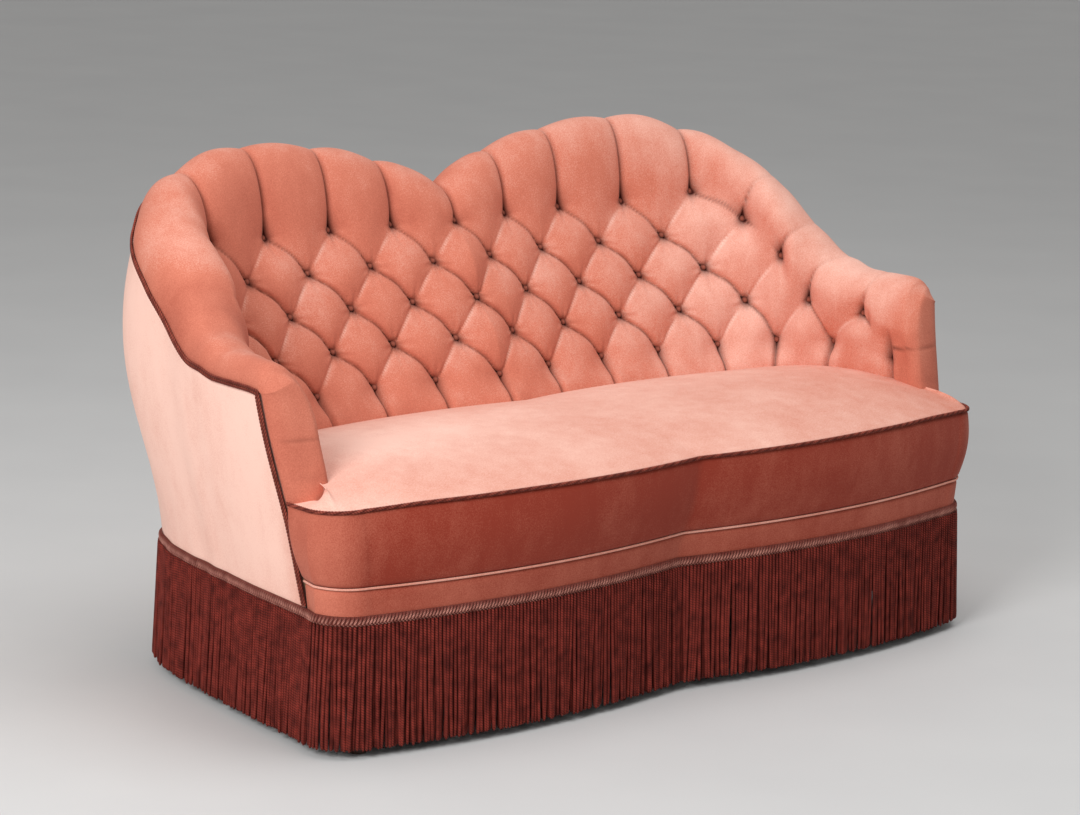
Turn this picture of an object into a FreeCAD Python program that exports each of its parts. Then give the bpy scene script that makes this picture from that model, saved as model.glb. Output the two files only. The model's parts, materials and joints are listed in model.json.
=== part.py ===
import FreeCAD, Part
import math
import os

# Two-seater salon sofa: a beech frame, a sprung seat, a deep-buttoned back and
# arms in one sweep, velvet covers, twisted trimmings and a bullion fringe.
# Millimetres. X runs along the seat, -Y is the front, Z is up and the floor is
# at zero. The origin is the middle of the sofa's footprint, on the floor.

SIZES = {
    # Reach of the sofa before and behind its arms' front corners
    "front_reach": 189.5,
    "back_reach": 536.3,
    "hump_height": 780,
    # Line of the lowest buttons, from the middle of the back to the arm front
    "button_line_depth": 327.5,
    "lobe_radius": 1070,
    "lobe_middle": 218,
    "lobe_pitch": 117.5,
    "corner_radius": 175,
    "arm_heading": 81.5,
    "arm_pitch": 114,
    "button_height": 413,
    "arm_row_climb": 9,
    "back_lean": 0.55,
    "arm_front_rake": 0.176,
    "tuft_depth": 26,
    "roll_pleat_depth": 7,
    "roll_start_rise": 14,
    # Wall of the back and arms
    "wall_reach": 205,
    "corner_bulge": 40,
    "edge_drop": 37,
    "timber": 22,
    "wadding_gauge": 3,
    "cover_gauge": 2,
    "hessian_gauge": 1.2,
    "soft_gap": 0.3,
    "tuck_depth": 25,
    "facing_depth": 18,
    "facing_tuck": 12,
    "tack_rail_height": 28,
    # Seat and front border
    "seat_edge_height": 370,
    "seat_corner_fall": 11,
    "seat_crown": 34,
    "seat_pad_depth": 66,
    "edge_stuffing_depth": 36,
    "welt_rise": 40,
    "border_bulge": 9,
    # Base outline and frame
    "base_corner_reach": 8.6,
    "lobe_front": 156,
    "notch_front": 127,
    "cord_corner_inset": 0.7,
    "cord_lobe_front": 183,
    "cord_notch_front": 168,
    "rail_bottom": 115,
    "rail_height": 92,
    "rail_thickness": 26,
    "corner_block_size": 78,
    "centre_rail_width": 32,
    "centre_rail_height": 60,
    "top_rail_height": 70,
    "arm_board_height": 34,
    # Trimmings
    "heading_top": 207,
    "heading_height": 14,
    "heading_gauge": 4,
    "fringe_foot": 12,
    "fringe_gauge": 7,
    "fringe_flare": 10,
    "rope_radius": 3,
    "welt_radius": 1.8,
    "piping_radius": 2.4,
    # Buttons
    "button_radius": 6,
    "button_seat": 11.5,
    "shank_radius": 1,
    # Feet and their bolts
    "foot_top_radius": 24,
    "foot_ring_radius": 21,
    "foot_neck_radius": 16,
    "foot_tip_radius": 13,
    "foot_plate_height": 10,
    "bolt_radius": 4,
    "bolt_in_rail": 40,
    "bolt_in_foot": 40,
    "bolt_clearance": 0.1,
    "front_foot_inset": 50.4,
    "front_foot_reach": 100,
    # Seat springing
    "webbing_width": 50,
    "webbing_gauge": 1.5,
    "spring_radius": 42,
    "spring_waist": 30,
    "spring_wire": 1.8,
    "spring_turns": 5,
    "spring_columns": 6,
    "spring_rows": 3,
    "spring_pitch": 180,
    "spring_row_pitch": 140,
    "first_spring_reach": 48,
    "dust_cover_gauge": 1,
}

# Stations count button pitches along the wall, from the middle of the back to
# the arm front. Each row of shares below has one value for each station.
STATIONS = (0, 0.5, 1, 2, 3, 4, 4.5, 5, 5.5, 6, 6.5, 7, 7.3)
CREST_SHARES = (0.892, 0.93, 0.952, 0.986, 1, 0.97, 0.922, 0.85, 0.769, 0.721, 0.707, 0.707, 0.704)
DROP_SHARES = (1, 1, 1, 0.9, 0.85, 1.05, 1.25, 1.45, 1.4, 1.1, 1, 1, 1)
EDGE_SHARES = (1, 1, 1, 0.985, 1, 0.975, 0.88, 0.635, 0.44, 0.38, 0.35, 0.31, 0.285)
BASE_SHARES = (0.88, 0.85, 0.815, 0.80, 0.84, 0.83, 0.585, 0.293, 0.137, 0.083, 0.078, 0.071, 0.068)
BULGE_SHARES = (0.12, 0.12, 0.12, 0.12, 0.2, 0.6, 1, 0.5, 0.25, 0.12, 0.1, 0.1, 0.1)
LEAN_SHARES = (1, 1, 1, 1, 1, 0.89, 0.62, 0.18, 0, 0, 0, 0, 0)
ROW_SHARES = (1, 1, 1, 1, 1, 1.05, 1.14, 1.22, 1.18, 1.02, 0.88, 0.88, 0.88)
TOP_ROWS = (4, 4, 4, 4, 4, 4, 3, 2, 1, 1, 1, 0, 0)
PLEAT_COUNTS = (0, 0.5, 1, 2, 3, 4, 5, 6, 7, 7.5, 8, 8.4, 8.5)
CORNER_START, CORNER_END = 4, 6
WALL_SPLIT, ARM_FRONT = 5, 7.3
STATION_STEP = 0.25
TOP_ARM_STATION = 6.5
LAST_BUTTON = 7
BUTTON_ROWS = 5
ROW_MARGIN = 0.01
# Where the outside of the wall swells most, as a power of the height share
BULGE_POWER = 1.36
# How pointed a tuft's sides are, and how far the crest stands over the wall
TUFT_POWER = 0.6
CREST_PLACE_SHARE = 0.56
ROLL_FRONT_SHARE = 0.6
# Steps up the face, over the roll and down the stuffing's back and the wall
FACE_STEPS = 2 * (BUTTON_ROWS - 1)
ROLL_STEPS = 5
BACK_STEPS = 6
WALL_STEPS = 8
# How much of the height from the lowest buttons to the top one row takes
ROW_RISE_SHARE = 0.1553
BUTTON_LIMITS = (7, 6.5, 5, 4.5, 4)
# Posts and blocks of the frame, as stations
REAR_POST_START = WALL_SPLIT - STATION_STEP
CENTRE_POST_HALF = STATION_STEP
REAR_BLOCK_START = WALL_SPLIT - 2 * STATION_STEP
FOOT_RING_SHARE, FOOT_NECK_SHARE = 0.62, 0.78
SPRING_START_SHARE = 0.01
# The front outline in plan: two lobes, then a corner, then the seam at the arm
LOBE_STEPS, CORNER_STEPS = 7, 4
SEAM_STEP = LOBE_STEPS + CORNER_STEPS + 1
FRONT_RAIL_STEP = 6
BASE_PLAN_SHARES = ((0.47, 1), (0.91, 0.81), (0.976, 0.68), (1, 0.468))
CORD_PLAN_SHARES = ((0.455, 1), (0.915, 0.71), (0.971, 0.617), (1, 0.426))
BORDER_STEPS = 4
EDGE_STEPS = 3
BASE_OUTLINE_STEPS = 20
HALVING_STEPS = 30
# The seat's fall, rear line and crown, one value for each step of the front
SEAT_FALL_SHARES = (0, 0, 0, 0, 0.02, 0.14, 0.27, 0.68, 0.79, 0.87, 0.93, 0.97, 1)
SEAT_REAR_STATIONS = (0, 0.75, 1.45, 2.2, 3, 3.8, 4.6, 5.4, 6.3)
SEAT_REAR_SHARES = (1.01, 1.01, 1.01, 1.01, 1.01, 1.01, 1.015, 1.03, 1.05, 1.03, 1.01, 0.99, 0.975)
SEAT_THROAT_SHARES = ((-0.6, 0.1), (-0.3, 1.1), (0.5, 1.5))
SEAT_CROWN_SHARES = (1, 1, 1, 1, 1, 0.95, 0.8, 0.5, 0.3, 0.2, 0.12, 0.08, 0.03)
# How an arm's front shrinks and comes forward, and how the piping runs down it
FACING_SHARES = ((1, 0), (0.97, 0.45), (0.9, 0.8), (0.72, 1))
PIPING_SHARES = (0, 0.2, 0.4, 0.6, 0.8, 0.94)

doc = FreeCAD.newDocument("Sofa")
sheet = doc.addObject("Spreadsheet::Sheet", "Sizes")
for line, (alias, number) in enumerate(SIZES.items(), start=1):
    sheet.set("A%d" % line, str(number))
    sheet.setAlias("A%d" % line, alias)
doc.recompute()


def size(alias):
    return float(sheet.get(alias))


pieces = []


def keep(piece, label):
    piece.Label = label
    pieces.append(piece)
    return piece


def keep_shape(label, shape):
    piece = doc.addObject("Part::Feature", label)
    piece.Shape = shape
    return keep(piece, label)


def keep_pair(name, right_shape):
    across = FreeCAD.Vector(1, 0, 0)
    keep_shape("right_" + name, right_shape)
    keep_shape("left_" + name, right_shape.mirror(FreeCAD.Vector(), across))


# Curves along the wall


def along(shares, station):
    """The shares at a station, on a curve that never overshoots them."""
    spans = len(STATIONS) - 1
    steps = [STATIONS[k + 1] - STATIONS[k] for k in range(spans)]
    slopes = [(shares[k + 1] - shares[k]) / steps[k] for k in range(spans)]
    tangents = [slopes[0]]
    for before, after in zip(slopes, slopes[1:]):
        level = before * after <= 0
        tangents.append(0 if level else 2 * before * after / (before + after))
    tangents.append(slopes[-1])
    k = max(n for n in range(spans) if STATIONS[n] <= station)
    t = (station - STATIONS[k]) / steps[k]
    start = shares[k] + steps[k] * tangents[k] * t
    end = shares[k + 1] - steps[k] * tangents[k + 1] * (1 - t)
    blend = t * t * (3 - 2 * t)
    return start + (end - start) * blend


def middle_y():
    """Y of the arms' front corners, with the origin in the middle of the depth."""
    return (size("front_reach") - size("back_reach")) / 2


def lobe_point(turn):
    radius = size("lobe_radius")
    x = size("lobe_middle") + radius * math.sin(turn)
    y = size("button_line_depth") - radius * (1 - math.cos(turn))
    return x, y


def wall_line(station):
    """Place of the lowest button line, and the heading of the wall outwards."""
    start_turn = -math.asin(size("lobe_middle") / size("lobe_radius"))
    pitch_turn = size("lobe_pitch") / size("lobe_radius")
    turn = start_turn + pitch_turn * min(station, CORNER_START)
    x, y = lobe_point(turn)
    if station <= CORNER_START:
        return x, y, max(turn, 0)
    radius = size("corner_radius")
    centre_x = x - radius * math.sin(turn)
    centre_y = y - radius * math.cos(turn)
    end_turn = math.radians(size("arm_heading"))
    corner_share = (min(station, CORNER_END) - CORNER_START) / (CORNER_END - CORNER_START)
    heading = turn + (end_turn - turn) * corner_share
    straight = size("arm_pitch") * max(station - CORNER_END, 0)
    x = centre_x + radius * math.sin(heading) + straight * math.cos(heading)
    y = centre_y + radius * math.cos(heading) - straight * math.sin(heading)
    return x, y, heading


def tuck_height():
    """Height at which the inside covers go down behind the seat."""
    return size("seat_edge_height") - size("tuck_depth")


def facing_bottom():
    return size("seat_edge_height") - size("facing_tuck")


def seat_pad_bottom():
    return size("seat_edge_height") - size("seat_pad_depth")


def welt_height():
    return size("heading_top") + size("welt_rise")


def crest_height(station):
    return size("hump_height") * along(CREST_SHARES, station)


def edge_height(station):
    return crest_height(station) - size("edge_drop") * along(DROP_SHARES, station)


def edge_reach(station):
    return size("wall_reach") * along(EDGE_SHARES, station)


def outer_reach(station, height):
    """Reach of the outside of the wall at a height."""
    base = size("wall_reach") * along(BASE_SHARES, station)
    top = edge_height(station)
    share = max(height - size("heading_top"), 0) / (top - size("heading_top"))
    swell = size("corner_bulge") * along(BULGE_SHARES, station)
    swell *= math.sin(math.pi * min(share, 1) ** BULGE_POWER)
    return base + (edge_reach(station) - base) * share + swell


def wall_point(signed_station, reach, height):
    """Point on the wall; stations left of the middle are negative."""
    station = abs(signed_station)
    x, y, heading = wall_line(station)
    x += reach * math.sin(heading)
    y += reach * math.cos(heading)
    forward_share = max(station - TOP_ARM_STATION, 0) / (ARM_FRONT - TOP_ARM_STATION)
    drop = edge_height(station) - max(height, size("heading_top"))
    y -= size("arm_front_rake") * forward_share * drop
    return FreeCAD.Vector(math.copysign(x, signed_station), y + middle_y(), height)


# Tufts and roll of the inside


def ridge(count):
    return abs(math.sin(math.pi * count)) ** TUFT_POWER


def row_height(station, row):
    lowest = size("button_height")
    lowest += size("arm_row_climb") * max(station - CORNER_START, 0)
    rise = (size("hump_height") - size("button_height")) * ROW_RISE_SHARE
    return lowest + row * rise * along(ROW_SHARES, station)


def face_point(station, row):
    """Reach and height on the buttoned face; below row zero the pleats run down."""
    height = row_height(station, row)
    lean = size("back_lean") * along(LEAN_SHARES, station)
    reach = lean * (height - row_height(station, 0))
    up = max(row, 0) / 2
    swell = (ridge(station + up) + ridge(station - up)) / 2
    return reach - size("tuft_depth") * swell, height


def roll_point(station, share):
    """Reach and height on the roll, from the top buttons to the piped edge."""
    top_row = along(TOP_ROWS, station)
    start_height = row_height(station, top_row) + size("roll_start_rise")
    lean = size("back_lean") * along(LEAN_SHARES, station)
    start_reach = lean * (start_height - row_height(station, 0))
    edge = edge_reach(station)
    crest_reach = start_reach + CREST_PLACE_SHARE * (edge - start_reach)
    top = crest_height(station)
    sink = size("roll_pleat_depth") * (1 - ridge(along(PLEAT_COUNTS, station))) * (2 - share)
    inner = crest_reach - start_reach + size("tuft_depth") - sink
    if share <= ROLL_FRONT_SHARE:
        angle = math.pi / 2 * share / ROLL_FRONT_SHARE
        rise = top - sink - start_height
        return crest_reach - inner * math.cos(angle), start_height + rise * math.sin(angle)
    angle = math.pi / 2 * (1 - share) / (1 - ROLL_FRONT_SHARE)
    fall = top - sink - edge_height(station)
    reach = crest_reach + (edge - crest_reach) * math.cos(angle)
    return reach, edge_height(station) + fall * math.sin(angle)


def inside_profile(station):
    """Points up the buttoned face and over the roll, from the tuck to the edge."""
    spacing = row_height(station, 1) - row_height(station, 0)
    tuck_row = (tuck_height() - row_height(station, 0)) / spacing
    points = [face_point(station, tuck_row), face_point(station, tuck_row / 2)]
    top_row = along(TOP_ROWS, station)
    rows = [step / 2 for step in range(FACE_STEPS + 1) if step / 2 <= top_row + ROW_MARGIN]
    points += [face_point(station, row) for row in rows]
    on_roll = FACE_STEPS + 1 - len(rows) + ROLL_STEPS
    points += [roll_point(station, (step + 1) / on_roll) for step in range(on_roll)]
    return points


def inset(points, depth):
    """The profile moved into the wall by a depth, square to itself."""
    moved = []
    for k, (reach, height) in enumerate(points):
        before = points[max(k - 1, 0)]
        after = points[min(k + 1, len(points) - 1)]
        run = after[0] - before[0]
        rise = after[1] - before[1]
        length = math.hypot(run, rise)
        moved.append((reach + depth * rise / length, height - depth * run / length))
    return moved


# Solids


def loft(wires):
    return Part.makeLoft(wires, True, True, False)


def loft_by_spans(wires):
    """One solid through wires that turn a long way, each span lofted alone."""
    spans = [loft([start, end]) for start, end in zip(wires, wires[1:])]
    return spans[0].fuse(spans[1:])


def skin(sections):
    """A solid with a ruled face between each pair of neighbouring section edges."""
    faces = [Part.Face(polygon(sections[0])), Part.Face(polygon(sections[-1]))]
    for start, end in zip(sections, sections[1:]):
        for k in range(len(start)):
            near = Part.LineSegment(start[k - 1], start[k]).toShape()
            far = Part.LineSegment(end[k - 1], end[k]).toShape()
            faces.append(Part.makeRuledSurface(near, far))
    shell = Part.makeShell(faces)
    shell.sewShape()
    solid = Part.makeSolid(shell)
    if solid.Volume < 0:
        solid.reverse()
    return solid


def polygon(points):
    return Part.makePolygon(points + points[:1])


def between(start, end, share):
    return start + (end - start) * share


def spread(start, end, step):
    count = round((end - start) / step)
    return [between(start, end, k / count) for k in range(count + 1)]


def wall_stations(start, end):
    """Stations along a stretch of wall; every button lies at one of them."""
    stations = spread(start, min(end, LAST_BUTTON), STATION_STEP)
    if end > LAST_BUTTON:
        stations.append(end)
    return stations


def heights_between(bottom, top, count):
    return [between(bottom, top, k / count) for k in range(count + 1)]


def timber_depth():
    """Depth of the frame's outer face in the wall, under cover and wadding."""
    return size("cover_gauge") + size("wadding_gauge")


def wall_core():
    return timber_depth() + size("timber") + size("wadding_gauge")


def stuffing_back(station, depth):
    """Points down the stuffing's back, at a depth from the outside of the wall."""
    top = edge_height(station) - 2 * size("cover_gauge")
    heights = heights_between(top, tuck_height(), BACK_STEPS)
    return [(outer_reach(station, height) - depth, height) for height in heights]


def stuffing_profile(station):
    skin = inset(inside_profile(station), size("cover_gauge") + size("soft_gap"))
    back = stuffing_back(station, wall_core() + size("hessian_gauge") + size("soft_gap"))
    return skin + [(skin[-1][0], back[0][1])] + back


def cover_profile(station):
    outside = inside_profile(station)
    inside = inset(outside, size("cover_gauge"))
    return outside + inside[::-1]


def hessian_profile(station):
    near = stuffing_back(station, wall_core() + size("hessian_gauge"))
    far = stuffing_back(station, wall_core())
    return near + far[::-1]


def outside_heights(station):
    top = edge_height(station) - size("cover_gauge")
    return heights_between(size("heading_top"), top, WALL_STEPS)


def raked_profile(station):
    """Section of the outside cover above the heading's top."""
    return skin_profile(station, outside_heights(station))


def outside_profile(station):
    """Section of the whole outside cover, upright below the heading's top."""
    return skin_profile(station, [size("rail_bottom")] + outside_heights(station))


def skin_profile(station, heights):
    far = [(outer_reach(station, height), height) for height in heights]
    near = [(reach - size("cover_gauge"), height) for reach, height in far]
    return near + far[::-1]


def wall_loft(stations, profile, *extra):
    """A solid along the wall; stations left of the middle are negative."""
    wires = []
    for station in stations:
        section = profile(abs(station), *extra)
        wires.append(polygon([wall_point(station, reach, height) for reach, height in section]))
    return loft(wires)


def make_inside():
    back = wall_stations(-WALL_SPLIT, WALL_SPLIT)
    arm = wall_stations(WALL_SPLIT, ARM_FRONT)
    keep_shape("back_stuffing", wall_loft(back, stuffing_profile))
    keep_pair("arm_stuffing", wall_loft(arm, stuffing_profile))
    keep_shape("inside_back_cover", wall_loft(back, cover_profile))
    keep_pair("inside_arm_cover", wall_loft(arm, cover_profile))
    keep_shape("back_hessian", wall_loft(back, hessian_profile))
    keep_pair("arm_hessian", wall_loft(arm, hessian_profile))


# Front border and seat


def arc_stations(start, middle, end, count):
    """Places along a plan arc, each with the direction that faces outwards."""
    arc = Part.Arc(start, middle, end)
    first, last = arc.FirstParameter, arc.LastParameter
    stations = []
    for k in range(count + 1):
        place = arc.value(between(first, last, k / count))
        ahead = arc.tangent(between(first, last, k / count))[0]
        stations.append((place, FreeCAD.Vector(ahead.y, -ahead.x, 0)))
    return stations


def front_plan(half_width, lobe_front, notch_front, shares):
    """The right half of a front outline, from the middle to the corner's end."""
    def place(share):
        return FreeCAD.Vector(share[0] * half_width, middle_y() - share[1] * lobe_front, 0)
    middle = FreeCAD.Vector(0, middle_y() - notch_front, 0)
    lobe = arc_stations(middle, place(shares[0]), place(shares[1]), LOBE_STEPS)
    corner = arc_stations(place(shares[1]), place(shares[2]), place(shares[3]), CORNER_STEPS)
    lobe[0] = (middle, FreeCAD.Vector(0, -1, 0))
    return lobe + corner[1:]


def seam_point(height, offset, ahead=0):
    """Point on the upright seam where the front border meets the arm."""
    reach = outer_reach(ARM_FRONT, height) - size("cover_gauge") + offset
    return wall_point(ARM_FRONT, reach, height) - FreeCAD.Vector(0, size("rope_radius") + ahead, 0)


def front_point(step, height, offset):
    """Point on the front border: out from the base outline to the cord's."""
    if step == SEAM_STEP:
        return seam_point(height, offset)
    low, low_facing = BASE_PLAN[step]
    high, high_facing = CORD_PLAN[step]
    share = max(height - size("heading_top"), 0) / (size("seat_edge_height") - size("heading_top"))
    facing = between(low_facing, high_facing, share)
    facing.normalize()
    point = between(low, high, share) + facing * offset
    return FreeCAD.Vector(point.x, point.y, height)


def both_sides(sections):
    """Sections from the right seam to the left one, given the right half from the middle."""
    across = [[FreeCAD.Vector(-p.x, p.y, p.z) for p in section] for section in sections[1:]]
    return sections[::-1] + across


def front_wires(profile, *extra):
    sections = []
    for step in range(SEAM_STEP + 1):
        sections.append([front_point(step, height, offset) for height, offset in profile(step, *extra)])
    return [polygon(section) for section in both_sides(sections)]


def cord_height(step):
    return size("seat_edge_height") - size("seat_corner_fall") * SEAT_FALL_SHARES[step]


def border_offset(height, step):
    top = cord_height(step)
    share = (height - welt_height()) / (top - welt_height())
    return size("border_bulge") * math.sin(math.pi * min(max(share, 0), 1))


def upper_border_profile(step):
    clear = size("rope_radius") + 3 * size("soft_gap")
    bottom = welt_height() + size("welt_radius") + size("soft_gap")
    top = cord_height(step) - clear
    heights = heights_between(bottom, top, BORDER_STEPS)
    outside = [(height, border_offset(height, step)) for height in heights]
    inside = [(height, offset - size("cover_gauge")) for height, offset in outside]
    return outside + inside[::-1]


def lower_border_section(step):
    """A section of the lower border, its end at the arm cut plumb."""
    top = welt_height() - size("welt_radius") - size("soft_gap")
    heights = (size("rail_bottom"), size("heading_top"), top)
    outside = [(height, 0) for height in heights]
    inside = [(height, -size("cover_gauge")) for height in heights]
    points = [front_point(step, height, offset) for height, offset in outside + inside[::-1]]
    if step < SEAM_STEP:
        return points
    end = front_point(step, size("heading_top"), 0)
    square = wall_line(ARM_FRONT)[2]
    return [FreeCAD.Vector(p.x, end.y + (p.x - end.x) / math.tan(square), p.z) for p in points]


def edge_stuffing_profile(step):
    bottom = size("rail_bottom") + size("rail_height") + size("soft_gap")
    top = seat_pad_bottom() - size("soft_gap")
    skin = size("cover_gauge") + 4 * size("soft_gap")
    heights = [bottom] + heights_between(welt_height(), top, EDGE_STEPS)
    outside = [(height, border_offset(height, step) - skin) for height in heights]
    return outside + [(top, -size("edge_stuffing_depth")), (bottom, -size("edge_stuffing_depth"))]


def seat_front(step, height):
    return front_point(step, height, -size("rope_radius"))


def seat_rear(step, height):
    """Where the seat meets the inside of the back and arms."""
    if step < len(SEAT_REAR_STATIONS):
        station = SEAT_REAR_STATIONS[step]
        lean = size("back_lean") * along(LEAN_SHARES, station)
        reach = lean * (height - row_height(station, 0)) - size("tuft_depth")
        return wall_point(station, reach - 2 * size("soft_gap"), height)
    if step == SEAM_STEP:
        return seam_point(height, -size("edge_stuffing_depth"))
    along_x, along_y = SEAT_THROAT_SHARES[step - len(SEAT_REAR_STATIONS)]
    corner = wall_point(ARM_FRONT, -size("tuft_depth"), facing_bottom())
    across = corner.x + along_x * size("facing_depth")
    return FreeCAD.Vector(across, corner.y - size("facing_depth") * along_y, height)


def seat_top(step, sink):
    """The crowned line over the seat: its front, its highest part and its rear."""
    front = seat_front(step, cord_height(step) - sink)
    rear = seat_rear(step, size("seat_edge_height") * SEAT_REAR_SHARES[step] - sink)
    crown = size("seat_crown") * SEAT_CROWN_SHARES[step]
    rise = FreeCAD.Vector(0, 0, crown)
    if step == SEAM_STEP:
        rise.y = crown * size("arm_front_rake")
    return front, (front + rear) / 2 + rise, rear


def seat_cover_section(step, mirror):
    upper = [turned(point, mirror) for point in seat_top(step, 0)]
    lower = [turned(point, mirror) for point in seat_top(step, size("cover_gauge"))]
    edges = [Part.Arc(*upper), Part.LineSegment(upper[2], lower[2])]
    edges += [Part.Arc(*lower[::-1]), Part.LineSegment(lower[0], upper[0])]
    return Part.Wire([edge.toShape() for edge in edges])


def seat_pad_section(step, mirror):
    sink = size("cover_gauge") + 4 * size("soft_gap")
    bottom = seat_pad_bottom()
    front, crown, rear = seat_top(step, sink)
    low_front = front_point(step, bottom, border_offset(bottom, step) - sink)
    low_rear = seat_rear(step, bottom)
    front, crown, rear, low_rear, low_front = [
        turned(point, mirror) for point in (front, crown, rear, low_rear, low_front)]
    edges = [Part.Arc(front, crown, rear), Part.LineSegment(rear, low_rear)]
    edges += [Part.LineSegment(low_rear, low_front), Part.LineSegment(low_front, front)]
    return Part.Wire([edge.toShape() for edge in edges])


def turned(point, mirror):
    return FreeCAD.Vector(-point.x if mirror else point.x, point.y, point.z)


def seat_loft(section):
    right = [section(step, False) for step in range(SEAM_STEP, -1, -1)]
    left = [section(step, True) for step in range(1, SEAM_STEP + 1)]
    return loft(right + left)


def tube(points, radius):
    """A round cord through the points, each circle square to the run through it."""
    circles = []
    for k, point in enumerate(points):
        run = points[min(k + 1, len(points) - 1)] - points[max(k - 1, 0)]
        circle = Part.Circle(point, run, radius)
        circles.append(Part.Wire([circle.toShape()]))
    return loft_by_spans(circles)


def front_cord(height_of, offset, radius):
    right = [front_point(step, height_of(step), offset) for step in range(SEAM_STEP, -1, -1)]
    left = [turned(point, True) for point in right[-2::-1]]
    return tube(right + left, radius)


BASE_HALF_WIDTH = seam_point(size("heading_top"), size("base_corner_reach")).x
CORD_HALF_WIDTH = seam_point(size("seat_edge_height"), -size("cord_corner_inset")).x
BASE_PLAN = front_plan(BASE_HALF_WIDTH, size("lobe_front"), size("notch_front"), BASE_PLAN_SHARES)
CORD_PLAN = front_plan(CORD_HALF_WIDTH, size("cord_lobe_front"), size("cord_notch_front"), CORD_PLAN_SHARES)


def make_seat():
    keep_shape("seat_stuffing", seat_loft(seat_pad_section))
    keep_shape("seat_cover", seat_loft(seat_cover_section))
    keep_shape("front_edge_stuffing", loft(front_wires(edge_stuffing_profile)))
    keep_shape("upper_front_border", loft(front_wires(upper_border_profile)))
    sections = [lower_border_section(step) for step in range(SEAM_STEP + 1)]
    keep_shape("lower_front_border", skin(both_sides(sections)))
    rope_lift = -2 * size("soft_gap")
    keep_shape("seat_edge_rope", front_cord(lambda step: cord_height(step) + rope_lift,
                                            size("soft_gap") * 2, size("rope_radius")))
    keep_shape("border_welt", front_cord(lambda step: welt_height(), 0, size("welt_radius")))


# Outer covers and arm fronts


def facing_outline():
    bottom = facing_bottom()
    inside = [point for point in inside_profile(ARM_FRONT) if point[1] > bottom + size("cover_gauge")]
    low_row = (bottom - row_height(ARM_FRONT, 0)) / (row_height(ARM_FRONT, 1) - row_height(ARM_FRONT, 0))
    start = face_point(ARM_FRONT, low_row)
    top = edge_height(ARM_FRONT)
    outside = []
    for share in (1 / 3, 2 / 3, 1):
        height = between(top, bottom, share)
        outside.append((outer_reach(ARM_FRONT, height), height))
    return [start] + inside + outside


def facing_section(shrink_share, ahead):
    outline = facing_outline()
    middle_reach = sum(reach for reach, height in outline) / len(outline)
    middle_height = sum(height for reach, height in outline) / len(outline)
    forward = FreeCAD.Vector(0, ahead, 0)
    points = []
    for reach, height in outline:
        near_reach = between(middle_reach, reach, shrink_share)
        near_height = between(middle_height, height, shrink_share)
        points.append(wall_point(ARM_FRONT, near_reach, near_height) - forward)
    return polygon(points)


def outside_arm_cover():
    """The outside of an arm: raked in front above the heading's top, plumb below it."""
    arm = wall_stations(WALL_SPLIT, ARM_FRONT)
    upper = wall_loft(arm, raked_profile)
    lower = wall_loft(arm, skin_profile, [size("rail_bottom"), size("heading_top")])
    return upper.fuse(lower).removeSplitter()


def make_outer_covers():
    keep_pair("outside_arm_cover", outside_arm_cover())
    back = wall_stations(-WALL_SPLIT, WALL_SPLIT)
    keep_shape("outside_back_cover", wall_loft(back, outside_profile))
    depth = size("facing_depth")
    sections = [facing_section(share, size("soft_gap") + depth * out) for share, out in FACING_SHARES]
    keep_pair("arm_front_facing", loft(sections))


# Frame


def rail_profile(station, thickness, bottom, top):
    corners = []
    for height, depth in ((bottom, thickness), (bottom, 0), (top, 0), (top, thickness)):
        corners.append((outer_reach(station, height) - timber_depth() - depth, height))
    return corners


def timber_top(station):
    return edge_height(station) - 2 * size("cover_gauge") - 2 * size("soft_gap")


def top_rail_profile(station, depth):
    return rail_profile(station, size("timber"), timber_top(station) - depth, timber_top(station))


def post_profile(station, bottom, rail_depth):
    """Section up a post, curved with the wall, from the base to under a rail."""
    heights = heights_between(bottom, timber_top(station) - rail_depth, WALL_STEPS)
    far = [(outer_reach(station, height) - timber_depth(), height) for height in heights]
    near = [(reach - size("timber"), height) for reach, height in far]
    return near + far[::-1]


def hung(point, height):
    return FreeCAD.Vector(point.x, point.y, height)


def flat_block(points, bottom, height):
    base = [hung(point, bottom) for point in points]
    return Part.Face(polygon(base)).extrude(FreeCAD.Vector(0, 0, height))


def front_block_section(height):
    clear = size("cover_gauge") + size("soft_gap")
    outside = [front_point(step, height, -clear) for step in range(FRONT_RAIL_STEP, SEAM_STEP)]
    outer = outer_reach(ARM_FRONT, height) - timber_depth()
    ahead = FreeCAD.Vector(0, size("soft_gap"), 0)
    rear_outer = wall_point(ARM_FRONT, outer, height) - ahead
    rear_inner = wall_point(ARM_FRONT, outer - size("corner_block_size"), height) - ahead
    front_inner = front_point(FRONT_RAIL_STEP, height, -clear - size("rail_thickness"))
    return polygon(outside + [rear_outer, rear_inner, front_inner])


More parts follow.
